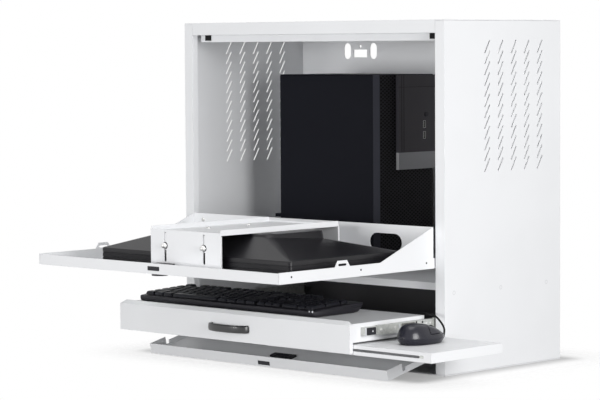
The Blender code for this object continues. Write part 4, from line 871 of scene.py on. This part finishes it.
def key_rows():
    """Keys as (left, row, width, depth) in key units, from the front row up."""
    rows = [
        (0, [1.25, 1.25, 1.25, 6.25, 1.25, 1.25, 1.25, 1.25]),
        (1, [2.25] + [1] * 10 + [2.75]),
        (2, [1.75] + [1] * 11 + [2.25]),
        (3, [1.5] + [1] * 12 + [1.5]),
        (4, [1] * 13 + [2]),
    ]
    keys = []
    for row, widths in rows:
        left = 0.0
        for width in widths:
            keys.append((left, row, width, 1))
            left += width
    keys.append((0, 5.25, 1, 1))
    keys += [(2 + group * 4.5 + k, 5.25, 1, 1) for group in range(3) for k in range(4)]
    nav = 15.25
    keys += [(nav + k, row, 1, 1) for row in (3, 4, 5.25) for k in range(3)]
    keys += [(nav + k, 0, 1, 1) for k in range(3)] + [(nav + 1, 1, 1, 1)]
    pad = 18.5
    keys += [(pad + k, row, 1, 1) for row in (1, 2, 3) for k in range(3)]
    keys += [(pad + k, 4, 1, 1) for k in range(4)]
    keys += [(pad, 0, 2, 1), (pad + 2, 0, 1, 1), (pad + 3, 0, 1, 2), (pad + 3, 2, 1, 2)]
    return keys


def rounded_line(points, times=3, share=0.25):
    """A closed line with its corners cut a few times, so that each becomes a curve."""
    points = np.array(points, float)
    for _ in range(times):
        ahead = np.roll(points, -1, axis=0)
        points = np.stack([points + (ahead - points) * share, ahead - (ahead - points) * share], axis=1)
        points = points.reshape(-1, 2)
    return points


def make_keyboard():
    """Keycaps with dished tops on a tilted deck, and a case with rounded rims."""
    low, high = box("keyboard_case")
    depth = high[1] - low[1]
    slope = (DECK_REAR - DECK_FRONT) / depth
    left = (low[0] + high[0] - KEYS_WIDE * KEY) / 2
    front = (low[1] + high[1] - KEYS_DEEP * KEY) / 2
    shape = superellipse(28, 9)
    caps = []
    for x, row, width, deep in key_rows():
        centre = np.array((left + (x + width / 2) * KEY, front + (row + deep / 2) * KEY))
        half = np.array((width, deep)) * KEY / 2 - KEY_GAP
        rings = [(centre + shape * (half - inset), height) for height, inset in KEY_LEVELS]
        top = half - KEY_LEVELS[-1][1]
        rings += [(centre + shape * top * share, KEY_H - drop) for share, drop in KEY_DISH]
        cap = []
        for flat, height in rings:
            deck = low[2] + DECK_FRONT + slope * (flat[:, 1] - low[1]) + GAP
            cap.append(np.column_stack([flat, deck + height]))
        caps.append(cap)
    keys = skin("keycaps", caps, "keycaps", "drawer", 50)
    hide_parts("keyboard_keys")
    profile = [
        (0.003, 0.0),
        (depth - 0.012, 0.0),
        (depth, DECK_REAR - 0.004),
        (depth, DECK_REAR),
        (0.0, DECK_FRONT),
        (0.0, 0.004),
    ]
    profile = rounded_line(profile, 3, 0.12)
    outward = np.sign(profile - profile.mean(axis=0))
    near, far = [], []
    for share, along in CASE_EDGE:
        away = CASE_RIM * (1 - math.sqrt(1 - (share * 0.9) ** 2))
        y, z = (low[1:] + profile - outward * np.array((away, away * 0.6))).T
        past = CASE_RIM * along
        near.append(np.column_stack([np.full(len(y), low[0] + past), y, z]))
        far.append(np.column_stack([np.full(len(y), high[0] - past), y, z]))
    shell = skin("keyboard_shell", [near + far[::-1]], "black_plastic", "drawer", 50)
    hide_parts("keyboard_case")


# Drawer handle

BOW_FOOT, BOW_THICK, BOW_POWER = 0.008, 0.0055, 0.85


def make_handle():
    """Bow handle: a rounded oblong section carried round half a superellipse in plan."""
    low, high = box("drawer_handle")
    half = (high[0] - low[0]) / 2
    out = high[1] - low[1]
    angle = np.linspace(0, math.pi, 61)
    wave = np.sign(np.cos(angle)) * np.abs(np.cos(angle)) ** BOW_POWER
    rise = np.abs(np.sin(angle)) ** BOW_POWER
    outer = np.stack([half * wave, -out * rise], axis=1)
    inner = np.stack([(half - BOW_FOOT) * wave, -(out - BOW_THICK) * rise], axis=1)
    shape = superellipse(28, 3.4)
    spread = (outer - inner) / 2
    flat = ((outer + inner) / 2)[:, None] + spread[:, None] * shape[None, :, :1]
    z = np.broadcast_to((high[2] + low[2]) / 2 + (high[2] - low[2]) / 2 * shape[:, 1], flat.shape[:2])
    rings = np.concatenate([flat + np.array(((low[0] + high[0]) / 2, high[1])), z[..., None]], axis=2)
    bow = skin("handle_bow", [rings], "handle", "drawer", 50)
    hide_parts("drawer_handle")


# Monitor
#
# GROOVE has heights above a groove's start with their insets, and BAND_EDGE and PAD_STEPS pair a drop
# below the top of the band or the pad with its inset.

BAND = 0.0285
RIDGE_X, RIDGE_FRONT, RIDGE_REAR = 0.104, 0.058, 0.0715
FALL_FRONT, FALL_REAR = 0.0045, 0.015
PAD_IN, PAD_ROUND = 0.002, 0.018
PAD_STEPS = ((0.0012, PAD_IN), (0.0004, PAD_IN + 0.0004), (0.0, PAD_IN + 0.0012))
BAND_ROUND = 0.006
BAND_EDGE = ((0.0020, 0.0), (0.0007, 0.0006), (0.0, 0.0020))
GROOVES = (0.0046, 0.0126)
GROOVE = ((0.0, 0.0), (0.0004, 0.0007), (0.0016, 0.0007), (0.0020, 0.0))


def make_monitor():
    """Back of the monitor: a grooved band, slopes up to a tilted ridge, and a raised pad on top."""
    low, high = box("monitor_housing")
    bezel, _ = box("monitor_bezel")
    band = bezel[2] + BAND
    levels = [(low[2], 0.0)]
    levels += [(low[2] + start + rise, inset) for start in GROOVES for rise, inset in GROOVE]
    levels += [(band - drop, inset) for drop, inset in BAND_EDGE]
    surface = []
    for z, inset in levels:
        flat = round_box(low[:2] + inset, high[:2] - inset, BAND_ROUND)
        surface.append(np.column_stack([flat, np.full(len(flat), z)]))
    ridge_low = low[:2] + np.array((RIDGE_X, RIDGE_FRONT))
    ridge_high = high[:2] - np.array((RIDGE_X, RIDGE_REAR))
    flat = round_box(ridge_low, ridge_high, PAD_ROUND)
    share = (flat[:, 1] - ridge_low[1]) / (ridge_high[1] - ridge_low[1])
    ridge = np.column_stack([flat, high[2] - FALL_FRONT - (FALL_REAR - FALL_FRONT) * share])
    surface += [surface[-1] + (ridge - surface[-1]) * part for part in (0.02, 0.5, 0.98)]
    surface.append(ridge)
    for drop, inset in PAD_STEPS:
        flat = round_box(ridge_low + inset, ridge_high - inset, PAD_ROUND)
        surface.append(np.column_stack([flat, np.full(len(flat), high[2] - drop)]))
    back = skin("monitor_back", [surface], "monitor_plastic", "monitor_carriage", 25)
    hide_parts("monitor_housing")


# Fittings

THUMB_DOME = (
    (0.0052, 0.0),
    (0.0052, 0.0022),
    (0.0048, 0.0028),
    (0.0046, 0.0046),
    (0.0036, 0.0062),
    (0.0022, 0.0071),
    (0.0006, 0.0075),
)
THUMB_COLLAR = ((0.0040, 0.0), (0.0060, 0.0), (0.0060, 0.0008), (0.0056, 0.0011), (0.0040, 0.0011))
THUMB_HEIGHT = 0.0075
RIVETS_Y, RIVETS_Z = (-0.3601, -0.1905, -0.0209), 0.1987
REAR_SCREW = (-0.274, -0.0040, 0.2484)
FIXING_CENTRE, FIXING_HALF = (0.0445, -0.2013, 0.2588), 0.05
FORWARD = (0, -1, 0)


def make_screws():
    """Domed thumb screws with dark collars, the door's rivets, and the screws behind the monitor."""
    for side in ("left", "right"):
        low, high = box(f"bridge_thumb_screw_{side}")
        middle = (low + high) / 2
        seat = (middle[0], low[1] + THUMB_HEIGHT, middle[2])
        head = turned(THUMB_DOME, seat, FORWARD, 72, 24, 0.02)
        knob = skin(f"thumb_knob_{side}", [head], "steel", "upper_door")
        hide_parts(f"bridge_thumb_screw_{side}")
        ring = turned(THUMB_COLLAR, seat, FORWARD, 40)
        skin(f"thumb_collar_{side}", [ring], "dark_bolt", "upper_door")
    rivets = []
    for turn in (-1, 1):
        face = box("door_cheek_right")[1][0] * turn
        for y in RIVETS_Y:
            rivets.append(screw_head(cabinet(face, y, RIVETS_Z), (turn, 0, 0), 0.0018, 0.0004))
    skin("door_rivets", rivets, "dark_bolt", "upper_door")
    rear = screw_head(cabinet(*REAR_SCREW), FORWARD, 0.0040, 0.0016)
    skin("rear_wall_screw", [rear], "steel", "upper_door")
    heads = []
    for x in (-FIXING_HALF, FIXING_HALF):
        for y in (-FIXING_HALF, FIXING_HALF):
            centre = cabinet(*FIXING_CENTRE) + (x, y, 0)
            heads.append(screw_head(centre, (0, 0, 1), 0.0036, 0.0022))
    skin("monitor_screws", heads, "steel", "monitor_carriage")


def slide_plate(x, y, z, radius=0.001):
    """A thin plate on the right slide, given its span along each axis."""
    low, high = zip(x, y, z)
    return slab(cabinet(*low), cabinet(*high), 0, radius)


def slide_head(x, y, z, radius, height):
    """A screw or rivet head on the right slide."""
    return screw_head(cabinet(x, y, z), (1, 0, 0), radius, height)


def make_slide_fittings():
    """What shows on the slides: catch plate, lever with its rivet, screws, stop, a mid-grey plate, and dark
    discs painted where there are holes, as painted shade.
    """
    face = box("slide_middle_right")[1][0]
    catch = slide_plate((0.2966, 0.2974), (-0.1758, -0.1722), (0.0838, 0.0984))
    lever = slide_plate((0.2968, 0.2987), (-0.1718, -0.1497), (0.0852, 0.0978), 0.0016)
    collar = slide_head(0.2987, -0.1585, 0.0915, 0.0030, 0.0004)
    pin = slide_head(0.2990, -0.1585, 0.0915, 0.0015, 0.0005)
    screws = [slide_head(face, y, z, 0.0026, 0.0007) for y, z in ((-0.1352, 0.0915), (-0.1006, 0.0925))]
    screws += [slide_head(face, y, 0.0930, 0.0022, 0.0007) for y in (-0.0361, -0.0175, -0.0072)]
    stop = slide_plate((face, face + 0.0008), (-0.0915, -0.0880), (0.0905, 0.0975), 0.0004)
    # A mid-grey plate on the middle member's face, where that face is darker.
    mid_grey = slide_plate((face, face + 0.0006), (-0.0840, -0.0490), (0.0850, 0.0982))
    # Painted shade: near-black discs stand for the shade inside the middle member's holes; no holes are
    # cut.
    holes = [slide_head(face, y, z, 0.0022, 0.0003) for y, z in ((-0.0446, 0.0970), (-0.0285, 0.0960))]
    on_drawer = {
        "slide_catch": ([catch], "light_mark", "zinc"),
        "release_tab": ([lever], "dark_bolt", "black_plastic"),
        "lever_collar": ([collar], "port_dark", "black_plastic"),
        "lever_pin": ([pin], "light_mark", "steel"),
    }
    on_middle = {
        "slide_screws": (screws, "steel", "zinc"),
        "slide_stop": ([stop], "light_mark", "zinc"),
        "grey_slide_plate": ([mid_grey], "mid_grey", "zinc"),
        "slide_hole_shades": (holes, "port_dark", "zinc"),
    }
    for side, turn in (("right", 1), ("left", -1)):
        mirror = np.array((turn, 1, 1))
        for body, pieces in (("drawer", on_drawer), (f"{side}_slide_middle", on_middle)):
            for name, (shells, material, slot) in pieces.items():
                made = skin(f"{name}_{side}", [shell * mirror for shell in shells], material, body)
                if name == "release_tab":
                    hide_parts(f"slide_release_lever_{side}")


HIGHLIGHT_DOME = ((1, 0.0), (0.9, 0.0002), (0.5, 0.0004), (0.1, 0.0005))
HIGHLIGHTS_X, HIGHLIGHTS_R, HIGHLIGHTS_Z = (0.1605, 0.1680), (0.0015, 0.0020), 0.1160
HIGHLIGHT_SEAT = 0.0001
SHELF_CLIP = ((0.4372, -0.1974, 0.0600), (0.4462, -0.1966, 0.0650))
TOWER_CATCH = ((-0.2046, 0.1215, 0.2503), (-0.1888, 0.1330, 0.2570))
PORTS_Z, PORT_HALF = (0.4299, 0.4096), 0.0066
PORT_FRONT, PORT_BACK = 0.2339, 0.2405
PORT_ROUND, RIM_R = 0.0006, 0.0003
TONGUE_DEEP, TONGUE_SUNK, TONGUE_ROUND = 0.0050, 0.0010, 0.0004
TONGUE_LOW, TONGUE_HIGH = (0.0039, 0.0014), (0.0015, 0.0014)


def make_small_parts():
    """Two light-grey dots on the keyboard's front that are painted highlights, the mouse shelf's end clip,
    the tower's rear catch and the rims of its ports.
    """
    front = box("keyboard_case")[0][1]
    # Painted highlights: two light-grey domes on the keyboard case's front stand for glints on it; they are
    # no lamps.
    lights = []
    for x, radius in zip(HIGHLIGHTS_X, HIGHLIGHTS_R):
        centre = (x, front + HIGHLIGHT_SEAT, HIGHLIGHTS_Z + CABINET[2])
        lights.append(turned([(radius * r, h) for r, h in HIGHLIGHT_DOME], centre, FORWARD, 24))
    skin("keyboard_painted_highlights", lights, "light_mark", "drawer")
    clip, catch = (slab(cabinet(*low), cabinet(*high), 1, 0.001) for low, high in (SHELF_CLIP, TOWER_CATCH))
    skin("shelf_clip", [clip], "zinc", "pull_out_shelf")
    skin("tower_catch", [catch], "black_steel", "cabinet")
    face = box("pc_port_panel")[1][0]
    rims, tongues = [], []
    for z in PORTS_Z:
        low, high = np.array((PORT_FRONT, z - PORT_HALF)), np.array((PORT_BACK, z + PORT_HALF))
        line = round_box(low, high, PORT_ROUND, 4) + CABINET[1:]
        line = np.vstack([line, line[:2]])
        rims.append(tube_rings(np.column_stack([np.full(len(line), face), line]), RIM_R, 8))
        low = (face - TONGUE_DEEP, *(low + TONGUE_LOW + CABINET[1:]))
        high = (face - TONGUE_SUNK, *(high - TONGUE_HIGH + CABINET[1:]))
        tongues.append(slab(low, high, 0, TONGUE_ROUND))
    skin("port_rims", rims, "steel", "cabinet")
    skin("port_tongues", tongues, "mid_grey", "cabinet")


# Floor

FLOOR_HALF = 0.8
FLOOR_GLOW = 0.70
PAINTED_SHADOW_DEPTH, PAINTED_SHADOW_REACH, FADE_REACH = 0.55, 0.055, 0.17
PLAN_HALF, PLAN_DEPTH = 0.325, 0.20
BLACK, BRIGHT = (0, 0, 0, 1), (1, 1, 1, 1)


def lay_floor():
    """A plain pale floor with a painted shadow, its glow dimmed near the cabinet, which fades into the
    white surround.
    """
    shader = Shader("floor", Roughness=0.9, Emission_Strength=FLOOR_GLOW)
    tone = shader.noise(3.0)
    shader.set("Base Color", shader.mix(tone, linear((136, 136, 136)), linear((139, 139, 139))))
    x, y, _ = shader.axes()
    beyond_x = (abs(x) - PLAN_HALF).most(0.0)
    beyond_y = (abs(y + PLAN_DEPTH) - PLAN_DEPTH).most(0.0)
    away = (beyond_x * beyond_x + beyond_y * beyond_y).root()
    # Painted shadow: the glow that the camera sees is dimmed within a few centimetres of the cabinet's
    # footprint.
    near = (1 - away.smooth(0.0, PAINTED_SHADOW_REACH)) * PAINTED_SHADOW_DEPTH
    bright = shader.mix(near, BRIGHT, BLACK)
    shader.set("Emission Color", shader.mix(seen_directly(shader.tree), BLACK, bright))
    shader.set("Alpha", 1 - away.smooth(0.0, FADE_REACH))
    z = CAD_BOX[0].z - GAP
    mesh = bpy.data.meshes.new("floor")
    corners = [(x * FLOOR_HALF, y * FLOOR_HALF, z) for x, y in ((-1, -1), (1, -1), (1, 1), (-1, 1))]
    mesh.from_pydata(corners, [], [(0, 1, 2, 3)])
    mesh.materials.append(shader.material)
    floor = bpy.data.objects.new("floor", mesh)
    bpy.context.scene.collection.objects.link(floor)


take_picture()
light_scene()
lay_floor()
dress_frame()
make_cord()
make_mouse()
make_keyboard()
make_handle()
make_monitor()
make_screws()
make_slide_fittings()
make_small_parts()
